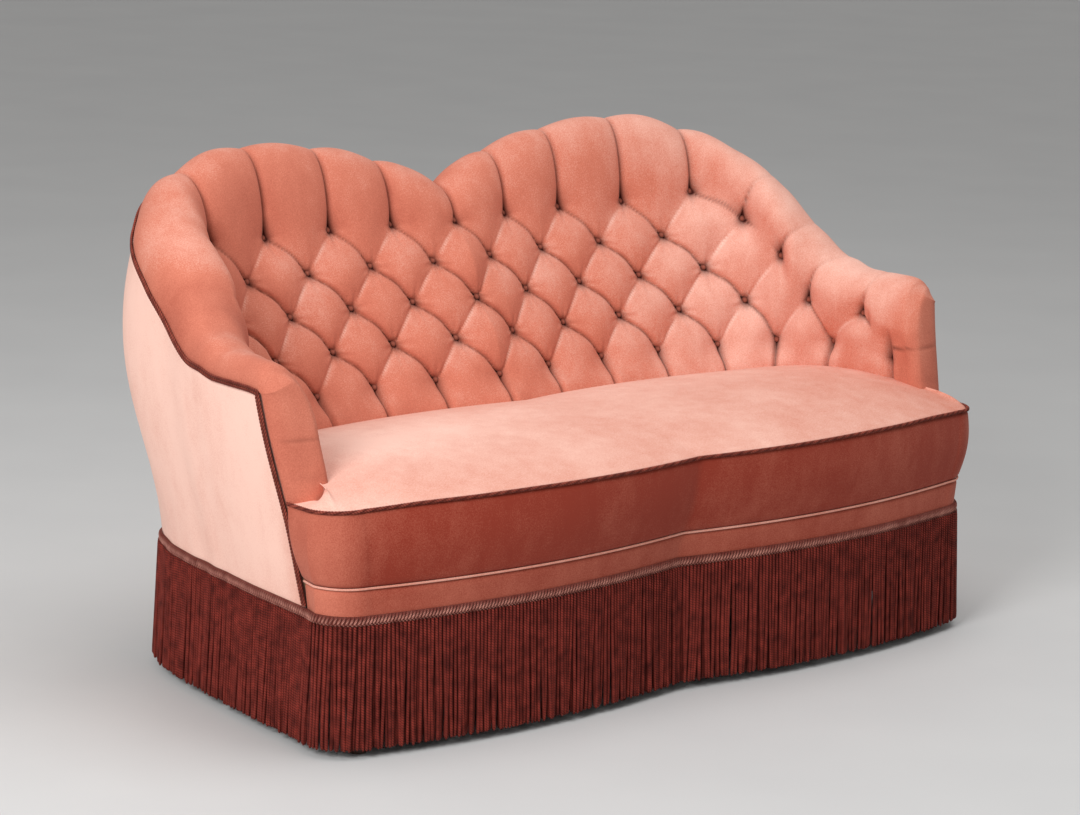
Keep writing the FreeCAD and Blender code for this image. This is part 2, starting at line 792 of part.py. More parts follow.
def make_frame():
    bottom = size("rail_bottom")
    top = bottom + size("rail_height")
    thick = size("rail_thickness")
    clear = size("cover_gauge") + size("soft_gap")
    sections = []
    for step in range(FRONT_RAIL_STEP + 1):
        corners = ((bottom, -clear), (top, -clear), (top, -clear - thick), (bottom, -clear - thick))
        sections.append([front_point(step, height, offset) for height, offset in corners])
    keep_shape("front_rail", loft([polygon(section) for section in both_sides(sections)]))
    front_block = loft([front_block_section(bottom), front_block_section(top)])
    side = wall_stations(WALL_SPLIT, ARM_FRONT)
    back = wall_stations(-REAR_BLOCK_START, REAR_BLOCK_START)
    rear = wall_stations(REAR_BLOCK_START, WALL_SPLIT)
    keep_pair("side_rail", wall_loft(side, rail_profile, thick, bottom, top))
    keep_shape("back_rail", wall_loft(back, rail_profile, thick, bottom, top))
    rear_block = wall_loft(rear, rail_profile, size("corner_block_size"), bottom, top)
    across = FreeCAD.Vector(1, 0, 0)
    blocks = []
    for end_name, blank in (("front", front_block), ("rear", rear_block)):
        foot = foot_place(end_name)
        hole = Part.makeCylinder(size("bolt_radius") + size("bolt_clearance"), size("bolt_in_rail"),
                                 FreeCAD.Vector(foot.x, foot.y, bottom))
        bored = blank.cut(hole)
        blocks += [bored, bored.mirror(FreeCAD.Vector(), across)]
    keep_shape("corner_blocks", Part.makeCompound(blocks))


def make_wall_frame():
    base = size("rail_bottom") + size("rail_height")
    rail, board = size("top_rail_height"), size("arm_board_height")
    centre = (-CENTRE_POST_HALF, 0, CENTRE_POST_HALF)
    keep_pair("front_arm_post", wall_loft((LAST_BUTTON, ARM_FRONT), post_profile, base, board))
    keep_pair("rear_post", wall_loft((REAR_POST_START, WALL_SPLIT), post_profile, base, rail))
    keep_shape("centre_back_post", wall_loft(centre, post_profile, base, rail))
    keep_pair("top_rail", wall_loft(wall_stations(0, WALL_SPLIT), top_rail_profile, rail))
    keep_pair("arm_board", wall_loft(wall_stations(WALL_SPLIT, ARM_FRONT), top_rail_profile, board))
    low = tuck_height() - size("tack_rail_height") / 2
    high = low + size("tack_rail_height")
    back = wall_stations(CENTRE_POST_HALF, REAR_POST_START)
    arm = wall_stations(WALL_SPLIT, LAST_BUTTON)
    keep_pair("back_tack_rail", wall_loft(back, rail_profile, size("timber"), low, high))
    keep_pair("arm_tack_rail", wall_loft(arm, rail_profile, size("timber"), low, high))


def make_centre_rail():
    front = front_point(0, 0, -size("cover_gauge") - size("rail_thickness") - 2 * size("soft_gap")).y
    reach = outer_reach(0, size("rail_bottom")) - timber_depth() - size("rail_thickness")
    rear = wall_point(0, reach - size("soft_gap"), 0).y
    rail = doc.addObject("Part::Box", "centre_rail")
    rail.setExpression("Length", "Sizes.centre_rail_width")
    rail.setExpression("Height", "Sizes.centre_rail_height")
    rail.Width = rear - front
    rail.setExpression("Placement.Base.x", "-Sizes.centre_rail_width / 2")
    rail.setExpression("Placement.Base.z", "Sizes.rail_bottom")
    rail.Placement.Base.y = front
    return keep(rail, "centre_rail")


# Feet, each turned in one piece and held by a bolt


def foot_place(end_name):
    if end_name == "front":
        seam = seam_point(size("heading_top"), 0)
        return FreeCAD.Vector(seam.x - size("front_foot_inset"), middle_y() - size("front_foot_reach"), 0)
    depth = size("corner_block_size") / 2 + size("cover_gauge")
    station = between(REAR_BLOCK_START, WALL_SPLIT, 1 / 2)
    return wall_point(station, outer_reach(station, 0) - depth, 0)


def sketch_line(sketch, start, end):
    sketch.addGeometry(Part.LineSegment(FreeCAD.Vector(*start, 0), FreeCAD.Vector(*end, 0)), False)


def turned_foot(name, place):
    """A turned foot: a round plate, a neck, a ring and a taper to the floor."""
    body = doc.addObject("PartDesign::Body", name)
    sketch = body.newObject("Sketcher::SketchObject", name + "_outline")
    plane = next(f for f in body.Origin.OriginFeatures if f.Role == "XZ_Plane")
    sketch.AttachmentSupport = [(plane, "")]
    sketch.MapMode = "FlatFace"
    top = size("rail_bottom")
    plate = top - size("foot_plate_height")
    outline = [(0, 0), (size("foot_tip_radius"), 0)]
    outline += [(size("foot_ring_radius"), top * FOOT_RING_SHARE)]
    outline += [(size("foot_neck_radius"), top * FOOT_NECK_SHARE)]
    outline += [(size("foot_top_radius"), plate), (size("foot_top_radius"), top), (0, top)]
    for start, end in zip(outline, outline[1:] + outline[:1]):
        sketch_line(sketch, start, end)
    doc.recompute()
    turning = body.newObject("PartDesign::Revolution", name + "_turning")
    turning.Profile = sketch
    turning.ReferenceAxis = (sketch, ["V_Axis"])
    turning.Angle = 360
    doc.recompute()
    bore = body.newObject("PartDesign::SubtractiveCylinder", name + "_bore")
    bore.setExpression("Radius", "Sizes.bolt_radius + Sizes.bolt_clearance")
    bore.setExpression("Height", "Sizes.bolt_in_foot")
    bore.AttachmentOffset = FreeCAD.Placement()
    bore.Placement = FreeCAD.Placement(FreeCAD.Vector(0, 0, top - size("bolt_in_foot")), FreeCAD.Rotation())
    body.Placement = FreeCAD.Placement(place, FreeCAD.Rotation())
    return keep(body, name)


def make_feet():
    bolts = []
    bottom = size("rail_bottom") - size("bolt_in_foot") + size("soft_gap")
    length = size("bolt_in_foot") + size("bolt_in_rail") - 2 * size("soft_gap")
    for end_name in ("front", "rear"):
        for side_name, mirror in (("right", False), ("left", True)):
            place = turned(foot_place(end_name), mirror)
            turned_foot("%s_%s_foot" % (side_name, end_name), place)
            bolts.append(Part.makeCylinder(size("bolt_radius"), length, hung(place, bottom)))
    keep_shape("foot_bolts", Part.makeCompound(bolts))


# Webbing, springs and the cloths over and under them


def strap(x_start, x_end, y_start, y_end, top):
    gauge = size("webbing_gauge")
    corner = FreeCAD.Vector(x_start, y_start, top - gauge)
    return Part.makeBox(x_end - x_start, y_end - y_start, gauge, corner)


def spring_rows():
    first = middle_y() - size("first_spring_reach")
    return [first + row * size("spring_row_pitch") for row in range(int(size("spring_rows")))]


def spring_columns():
    count = int(size("spring_columns"))
    return [(column - (count - 1) / 2) * size("spring_pitch") for column in range(count)]


def wall_station_at(y):
    """The arm station whose base lies at a depth."""
    low, high = WALL_SPLIT, ARM_FRONT
    for halving in range(HALVING_STEPS):
        middle = (low + high) / 2
        if wall_point(middle, outer_reach(middle, 0), 0).y > y:
            low = middle
        else:
            high = middle
    return low


def make_webbing():
    half = size("webbing_width") / 2
    top = size("rail_bottom")
    lay = size("cover_gauge") + size("rail_thickness") / 2
    along_seat, across_seat = [], []
    for y in spring_rows():
        station = wall_station_at(y)
        reach = wall_point(station, outer_reach(station, 0) - lay, 0).x
        along_seat.append(strap(-reach, reach, y - half, y + half, top))
    for x in spring_columns():
        station = abs(x) / size("lobe_pitch")
        rear = wall_point(station, outer_reach(station, 0) - lay, 0).y
        front = middle_y() - size("notch_front") + lay
        across_seat.append(strap(x - half, x + half, front - lay / 2, rear, top - size("webbing_gauge")))
    keep_shape("lengthwise_webbing", Part.makeCompound(along_seat))
    keep_shape("crosswise_webbing", Part.makeCompound(across_seat))


def spring_point(share):
    turn = 2 * math.pi * size("spring_turns") * share
    pinch = math.sin(math.pi * share)
    radius = between(size("spring_radius"), size("spring_waist"), pinch)
    bottom = size("rail_bottom") + size("spring_wire") + size("soft_gap")
    top = seat_pad_bottom() - size("hessian_gauge") - size("spring_wire") - 3 * size("soft_gap")
    return FreeCAD.Vector(radius * math.cos(turn), radius * math.sin(turn), between(bottom, top, share))


def coil_spring():
    quarters = int(4 * size("spring_turns"))
    arcs = []
    for k in range(quarters):
        shares = (k / quarters, (k + 0.5) / quarters, (k + 1) / quarters)
        arcs.append(Part.Arc(*[spring_point(share) for share in shares]).toShape())
    path = Part.Wire(arcs)
    start = spring_point(0)
    run = spring_point(SPRING_START_SHARE) - start
    section = Part.Wire([Part.Circle(start, run, size("spring_wire")).toShape()])
    return path.makePipeShell([section], True, False)


def make_springs():
    spring = coil_spring()
    springs = []
    for x in spring_columns():
        for y in spring_rows():
            copy = spring.copy()
            copy.translate(FreeCAD.Vector(x, y, 0))
            springs.append(copy)
    keep_shape("seat_springs", Part.makeCompound(springs))


def make_seat_cloths():
    top = seat_pad_bottom() - size("soft_gap")
    gauge = size("hessian_gauge")
    inner = -size("edge_stuffing_depth") - size("soft_gap")
    front = [front_point(step, top, inner) for step in range(LOBE_STEPS)]
    rear = [seat_rear(step, top) for step in range(LOBE_STEPS + 1)]
    right = front + rear[::-1]
    outline = right + [turned(point, True) for point in right[::-1]]
    outline = [point for k, point in enumerate(outline)
               if (hung(point, top) - hung(outline[k - 1], top)).Length]
    keep_shape("spring_hessian", flat_block(outline, top - gauge, gauge))


def base_outline(inner):
    """Points round the base, from the middle of the front, anticlockwise."""
    right = [front_point(step, 0, inner) for step in range(SEAM_STEP)]
    for station in spread(ARM_FRONT, 0, -ARM_FRONT / BASE_OUTLINE_STEPS):
        right.append(wall_point(station, outer_reach(station, 0) + inner, 0))
    left = [turned(point, True) for point in right[-2:0:-1]]
    return right + left


def make_dust_cover():
    gauge = size("dust_cover_gauge")
    top = size("rail_bottom") - 2 * size("webbing_gauge") - size("soft_gap")
    sheet_shape = flat_block(base_outline(-size("rail_thickness") / 2), top - gauge, gauge)
    for end_name in ("front", "rear"):
        for mirror in (False, True):
            place = turned(foot_place(end_name), mirror)
            hole = Part.makeCylinder(size("foot_top_radius") + size("cover_gauge"), top,
                                     FreeCAD.Vector(place.x, place.y, 0))
            sheet_shape = sheet_shape.cut(hole)
    keep_shape("dust_cover", sheet_shape)


# Trimmings


def heading_profile():
    near = size("soft_gap")
    far = near + size("heading_gauge")
    top = size("heading_top")
    bottom = top - size("heading_height")
    return (bottom, near), (bottom, far), (top, far), (top, near)


def fringe_profile():
    near = size("soft_gap")
    far = near + size("fringe_gauge")
    top = size("heading_top") - size("heading_height") - size("soft_gap")
    flare = size("fringe_flare")
    foot = size("fringe_foot")
    return (foot, near + flare), (foot, far + flare), (top, far), (top, near)


def trim_front_section(step, profile):
    """A section of trimming that hangs plumb from the top of the heading."""
    level = size("heading_top")
    return [hung(front_point(step, level, offset), height) for height, offset in profile]


def trim_wall_section(station, profile):
    level = size("heading_top")
    reach = outer_reach(abs(station), level)
    return [hung(wall_point(station, reach + offset, level), height) for height, offset in profile]


def trim_front(profile):
    sections = [trim_front_section(step, profile) for step in range(SEAM_STEP + 1)]
    return skin(both_sides(sections))


def trim_wall(start, end, profile):
    return skin([trim_wall_section(station, profile) for station in wall_stations(start, end)])


def trim_all_round(profile):
    """One length of trimming, from the middle of the back round to its start."""
    join = size("soft_gap") / size("lobe_pitch")
    right = [trim_front_section(step, profile) for step in range(SEAM_STEP)]
    wall = [join] + wall_stations(STATION_STEP, ARM_FRONT)
    right += [trim_wall_section(station, profile) for station in wall[::-1]]
    return skin(both_sides(right))


def piping_points(strand):
    """Centres of a strand, from the foot of the arm's front edge to the back's middle."""
    out = size("piping_radius") + 2 * size("soft_gap")
    beside = 2 * size("piping_radius") + size("soft_gap")
    join = size("piping_radius") / size("lobe_pitch")
    behind = FreeCAD.Vector(0, beside * (1 - strand), 0)
    points = []
    for share in PIPING_SHARES:
        height = between(size("heading_top") + out, edge_height(ARM_FRONT), share)
        points.append(wall_point(ARM_FRONT, outer_reach(ARM_FRONT, height) + out, height) + behind)
    wall = [join] + wall_stations(STATION_STEP, ARM_FRONT)
    for station in wall[::-1]:
        height = edge_height(station) + beside * strand - size("piping_radius")
        points.append(wall_point(station, edge_reach(station) + out, height))
        if station == ARM_FRONT:
            points[-1] += behind
    return points


def make_trimmings():
    strands = [tube(piping_points(strand), size("piping_radius")) for strand in (0, 1)]
    keep_pair("edge_piping", Part.makeCompound(strands))
    keep_shape("braid_heading", trim_all_round(heading_profile()))
    fringe = fringe_profile()
    keep_shape("front_fringe", trim_front(fringe))
    keep_pair("side_fringe", trim_wall(WALL_SPLIT, ARM_FRONT, fringe))
    keep_shape("back_fringe", trim_wall(-WALL_SPLIT, WALL_SPLIT, fringe))


def button_at(station, row):
    reach, height = face_point(station, row)
    heading = wall_line(station)[2]
    lean = math.atan(size("back_lean") * along(LEAN_SHARES, station))
    outward = FreeCAD.Vector(-math.sin(heading), -math.cos(heading), 0) * math.cos(lean)
    outward += FreeCAD.Vector(0, 0, math.sin(lean))
    seat = wall_point(station, reach, height)
    head = Part.makeSphere(size("button_radius"), seat + outward * size("button_seat"))
    gap = 4 * size("soft_gap")
    length = size("button_seat") - gap
    shank = Part.makeCylinder(size("shank_radius"), length, seat + outward * gap, outward)
    return head.fuse(shank)


def make_buttons():
    buttons = []
    across = FreeCAD.Vector(1, 0, 0)
    for row, limit in enumerate(BUTTON_LIMITS):
        station = (row % 2) / 2
        while station <= limit:
            button = button_at(station, row)
            buttons.append(button)
            if station:
                buttons.append(button.mirror(FreeCAD.Vector(), across))
            station += 1
    keep_shape("covered_buttons", Part.makeCompound(buttons))


make_frame()
make_wall_frame()
make_centre_rail()
make_feet()
make_webbing()
make_springs()
make_seat_cloths()
make_inside()
make_seat()
make_outer_covers()
make_dust_cover()
make_trimmings()
make_buttons()
doc.recompute()


def check_and_write():
    os.makedirs("parts", exist_ok=True)
    for piece in doc.Objects:
        if "Invalid" in piece.State or "Error" in piece.State:
            raise RuntimeError("%s failed: %s" % (piece.Label, piece.State))
    for piece in pieces:
        if piece.Shape.isNull() or not piece.Shape.isValid():
            raise RuntimeError("%s has no valid shape" % piece.Label)
    for piece in pieces:
        piece.Shape.exportStep(os.path.join("parts", piece.Label + ".step"))
        print(piece.Label, len(piece.Shape.Solids), round(piece.Shape.Volume), len(piece.Shape.Faces))


check_and_write()
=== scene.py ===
import json
import logging
import math
from dataclasses import dataclass
from enum import Enum
from typing import Dict, Optional, Sequence, Tuple

import bpy
import numpy as np
from mathutils import Matrix


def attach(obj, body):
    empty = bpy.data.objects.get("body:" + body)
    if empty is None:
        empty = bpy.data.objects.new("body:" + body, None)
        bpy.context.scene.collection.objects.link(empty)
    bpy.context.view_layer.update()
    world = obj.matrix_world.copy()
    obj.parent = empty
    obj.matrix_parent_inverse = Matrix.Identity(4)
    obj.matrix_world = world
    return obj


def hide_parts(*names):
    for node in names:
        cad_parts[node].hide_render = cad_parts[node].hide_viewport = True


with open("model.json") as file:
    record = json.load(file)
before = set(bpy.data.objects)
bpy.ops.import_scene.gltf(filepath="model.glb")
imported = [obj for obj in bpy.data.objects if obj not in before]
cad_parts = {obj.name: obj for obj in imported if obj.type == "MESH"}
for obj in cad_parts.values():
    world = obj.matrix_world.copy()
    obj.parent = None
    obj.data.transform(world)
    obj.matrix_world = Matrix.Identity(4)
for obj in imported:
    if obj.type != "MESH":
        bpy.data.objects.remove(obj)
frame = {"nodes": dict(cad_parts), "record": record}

# Looks of a two-seater salon sofa: deep-buttoned velvet, twisted cords, a looped
# braid and a bullion fringe. Metres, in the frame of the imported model: X along
# the seat, -Y the front, Z up. A station counts button pitches along the wall of
# the back and arms from the middle of the back; left of it, stations are negative.

log = logging.getLogger("sofa")
Array = np.ndarray
Rgb = Tuple[float, float, float]
FULL_TURN = 2 * math.pi
UP = (0.0, 0.0, 1.0)
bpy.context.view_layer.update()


class Slot(Enum):
    """The record's material slots."""

    VELVET = "pink_velvet"
    CORD = "rust_cord"
    FRINGE = "rust_fringe"
    BRAID = "pink_braid"
    BEECH = "beech"
    DARK_WOOD = "dark_wood"
    HAIR = "hair_stuffing"
    HESSIAN = "hessian"
    WEBBING = "jute_webbing"
    SPRING = "spring_steel"
    BOLT = "bolt_steel"
    CAMBRIC = "black_cambric"


# Curves and meshes


def smooth(share: Array) -> Array:
    """Eases a share from 0 to 1: three squares less two cubes."""
    share = np.clip(share, 0, 1)
    return share * share * (3 - 2 * share)


def between(start: Array, end: Array, share: Array) -> Array:
    """The value a share of the way from start to end."""
    return start + (end - start) * share


def through(values: Array, at: Array) -> Array:
    """A smooth line through evenly spaced values.

    Each span is a cubic whose end slopes are half the difference of the two
    neighbouring values.

    Args:
        values: One value or point for each whole place, along the first axis.
        at: Places to read, from 0 to the number of the last value.

    Returns:
        The values at those places.
    """
    values = np.asarray(values, float)
    last = len(values) - 1
    start = np.clip(np.floor(at).astype(int), 0, last - 1)
    share = (at - start).reshape(at.shape + (1,) * (values.ndim - 1))
    before, here = values[np.maximum(start - 1, 0)], values[start]
    ahead, after = values[start + 1], values[np.minimum(start + 2, last)]
    slope_here, slope_ahead = (ahead - before) / 2, (after - here) / 2
    square, cube = share ** 2, share ** 3
    return ((2 * cube - 3 * square + 1) * here + (cube - 2 * square + share) * slope_here
            + (3 * square - 2 * cube) * ahead + (cube - square) * slope_ahead)


def unit(vectors: Array) -> Array:
    """The vectors at length one."""
    return vectors / np.linalg.norm(vectors, axis=-1, keepdims=True)


def evenly(points: Array, pitch: float, extra: Optional[Array] = None) -> Tuple[Array, Array, Array]:
    """Points at an even pitch along a line of points.

    Args:
        points: The line, one point per row.
        pitch: Distance wanted between the new points.
        extra: More columns to carry along, one row per point.

    Returns:
        The new points, their distances along the line, and the extra columns.
    """
    lengths = run_lengths(points)
    count = max(int(round(lengths[-1] / pitch)), 2)
    places = np.linspace(0, lengths[-1], count + 1)
    columns = points if extra is None else np.hstack((points, extra))
    carried = np.stack([np.interp(places, lengths, column) for column in columns.T], axis=1)
    return carried[:, :3], places, carried[:, 3:]


def bell_weights(reach: int) -> Array:
    """Weights that add up to one and fall off on a raised cosine to both sides."""
    kernel = np.hanning(2 * reach + 3)[1:-1]
    return kernel / kernel.sum()


def softened(points: Array, reach: int) -> Array:
    """The line with each point moved to the mean of its neighbours within reach; its ends stay."""
    kernel = bell_weights(reach)
    before, after = 2 * points[:1] - points[reach:0:-1], 2 * points[-1:] - points[-2:-reach - 2:-1]
    padded = np.concatenate((before, points, after))
    return np.stack([np.convolve(column, kernel, mode="valid") for column in padded.T], axis=1)


def eased(values: Array, reach: int) -> Array:
    """Rows with each value moved to the mean of its neighbours within reach, near ones more."""
    padded = np.pad(values, ((0, 0), (reach, reach)), mode="edge")
    windows = np.lib.stride_tricks.sliding_window_view(padded, 2 * reach + 1, axis=1)
    return windows @ bell_weights(reach)


def bell(distance: Array, width: float) -> Array:
    """One at no distance, falling off on both sides: e to less the square of distance by width."""
    return np.exp(-(distance / width) ** 2)


def run_lengths(points: Array) -> Array:
    """Distance along a line at each of its points."""
    steps = np.linalg.norm(np.diff(points, axis=0), axis=1)
    return np.concatenate(([0], np.cumsum(steps)))


def angles(sides: int) -> Array:
    """Angles of evenly spaced sides, from nothing up."""
    return np.arange(sides) * FULL_TURN / sides


def mirrored(right: Array) -> Array:
    """Values from 0 up, with their negatives before them."""
    return np.concatenate((-right[:0:-1], right))


def scattered(column: Array, row: Array) -> Array:
    """A repeatable share for each cell of a grid: the last digits of a large sine."""
    tangled = np.sin(column * 12.9898 + row * 78.233)
    return np.modf(np.abs(tangled) * 43758.5)[0]


@dataclass
class Faces:
    """Corner numbers of quads and triangles, and each corner's place on the pattern."""

    quads: Array
    triangles: Array
    quad_places: Optional[Array] = None

    @staticmethod
    def ring_grid(items: int, rings: int, sides: int, turned: Optional[Array] = None) -> "Faces":
        """Faces of closed tubes: a quad between neighbouring rings, and a fan at each end.

        Vertices are numbered ring by ring within each tube, with two more for the
        middles of its ends. A quad that turned marks starts one corner later, so that
        its two triangles meet on its other diagonal.
        """
        stride = rings * sides + 2
        row = np.arange(rings - 1)[:, None]
        side = np.arange(sides)[None, :]
        ahead = (side + 1) % sides
        quad = np.stack(np.broadcast_arrays(
            row * sides + side, row * sides + ahead, (row + 1) * sides + ahead, (row + 1) * sides + side), -1)
        if turned is not None:
            quad = np.where(turned[..., None], np.roll(quad, -1, axis=-1), quad)
        side, ahead = side[0], ahead[0]
        last = (rings - 1) * sides
        middle = np.full(sides, rings * sides)
        first_fan = np.stack((middle, ahead, side), -1)
        last_fan = np.stack((middle + 1, last + side, last + ahead), -1)
        offsets = (np.arange(items) * stride)[:, None, None]
        quads = (quad.reshape(1, -1, 4) + offsets).reshape(-1, 4)
        fans = (np.concatenate((first_fan, last_fan))[None] + offsets).reshape(-1, 3)
        return Faces(quads, fans)

    def flipped(self) -> "Faces":
        """The same faces, turned over."""
        places = None if self.quad_places is None else self.quad_places[:, ::-1]
        return Faces(self.quads[:, ::-1], self.triangles[:, ::-1], places)

    def volume(self, points: Array) -> float:
        """Six times the volume enclosed: the sum of each triangle's corners' triple product."""
        halves = np.concatenate((self.quads[:, (0, 1, 2)], self.quads[:, (0, 2, 3)], self.triangles))
        a, b, c = (points[halves[:, k]] for k in range(3))
        return float(np.einsum("ij,ij->i", a, np.cross(b, c)).sum())


def make_piece(name: str, points: Array, faces: Faces,
               fields: Optional[Dict[str, Array]] = None) -> bpy.types.Object:
    """Puts points and faces into a smooth-shaded mesh object.

    Args:
        name: The piece's name.
        points: One point per row, in metres.
        faces: Its quads and triangles.
        fields: Named values for the material, one per point.

    Returns:
        The new object, at the origin.
    """
    mesh = bpy.data.meshes.new(name)
    mesh.vertices.add(len(points))
    mesh.vertices.foreach_set("co", np.ascontiguousarray(points, np.float32).ravel())
    corners = np.concatenate((faces.quads.ravel(), faces.triangles.ravel())).astype(np.int32)
    mesh.loops.add(len(corners))
    mesh.loops.foreach_set("vertex_index", corners)
    quad_corners = faces.quads.size
    starts = np.concatenate((np.arange(0, quad_corners, 4), np.arange(quad_corners, len(corners), 3)))
    mesh.polygons.add(len(starts))
    mesh.polygons.foreach_set("loop_start", starts.astype(np.int32))
    mesh.polygons.foreach_set("use_smooth", np.ones(len(starts), bool))
    if faces.quad_places is not None:
        places = np.zeros((len(corners), 2), np.float32)
        places[:quad_corners] = faces.quad_places.reshape(-1, 2)
        mesh.uv_layers.new(name="lay").data.foreach_set("uv", places.ravel())
    for field_name, values in (fields or {}).items():
        attribute = mesh.attributes.new(field_name, "FLOAT", "POINT")
        attribute.data.foreach_set("value", np.ascontiguousarray(values, np.float32).ravel())
    mesh.update(calc_edges=True)
    mesh.validate()
    piece = bpy.data.objects.new(name, mesh)
    bpy.context.scene.collection.objects.link(piece)
    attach(piece, "root")
    return piece


def ring_piece(name: str, rings: Array, fields: Optional[Dict[str, Array]] = None,
               lengths: Optional[Array] = None, turned: Optional[Array] = None) -> bpy.types.Object:
    """Closed tubes or one long solid, skinned over rings of points.

    Args:
        name: The piece's name.
        rings: Points as (tube, ring, side, xyz).
        fields: Named values as (tube, ring, side).
        lengths: Distance along each tube as (tube, ring), kept as its UV map.
        turned: Quads to part on their other diagonal, as (ring, side).

    Returns:
        The new object, with its faces outwards.
    """
    items, count, sides = rings.shape[:3]
    ends = np.stack((rings[:, 0].mean(1), rings[:, -1].mean(1)), 1)
    points = np.concatenate((rings.reshape(items, -1, 3), ends), 1).reshape(-1, 3)
    faces = Faces.ring_grid(items, count, sides, turned)
    if lengths is not None:
        side = np.arange(sides)
        around = np.stack((side, side + 1, side + 1, side), -1) / sides
        along_quads = np.stack((lengths[:, :-1], lengths[:, :-1], lengths[:, 1:], lengths[:, 1:]), -1)
        places = np.stack(np.broadcast_arrays(around[None, None], along_quads[:, :, None, :]), -1)
        faces.quad_places = places.reshape(-1, 4, 2)
    if faces.volume(points) < 0:
        faces = faces.flipped()
    carried = {}
    for field_name, values in (fields or {}).items():
        tips = np.stack((values[:, 0].mean(1), values[:, -1].mean(1)), 1)
        carried[field_name] = np.concatenate((values.reshape(items, -1), tips), 1)
    return make_piece(name, points, faces, carried)


def tube_rings(path: Array, outward: Array, radius: Array, sides: int, twist: Optional[Array] = None,
               form: Optional[Array] = None) -> Array:
    """Rings round a path, each square to it.

    A ring's point is the path's point plus the radius times the cosine of its angle
    outwards and the sine across; twist adds to the angle, form scales the radius.

    Args:
        path: The centre line, one point per row.
        outward: A direction across the path at each point.
        radius: The radius, or one for each point.
        sides: Points in a ring.
        twist: Angle added at each point of the path.
        form: Share of the radius at each side.

    Returns:
        The rings, as (ring, side, xyz).
    """
    run = unit(np.gradient(path, axis=0))
    across = unit(np.cross(run, outward))
    out = np.cross(across, run)
    angle = angles(sides)[None, :] + (0 if twist is None else twist[:, None])
    spread = np.broadcast_to(radius, len(path))[:, None] * (np.ones(sides) if form is None else form)[None, :]
    return (path[:, None] + (spread * np.cos(angle))[..., None] * out[:, None]
            + (spread * np.sin(angle))[..., None] * across[:, None])


# The sofa's shape


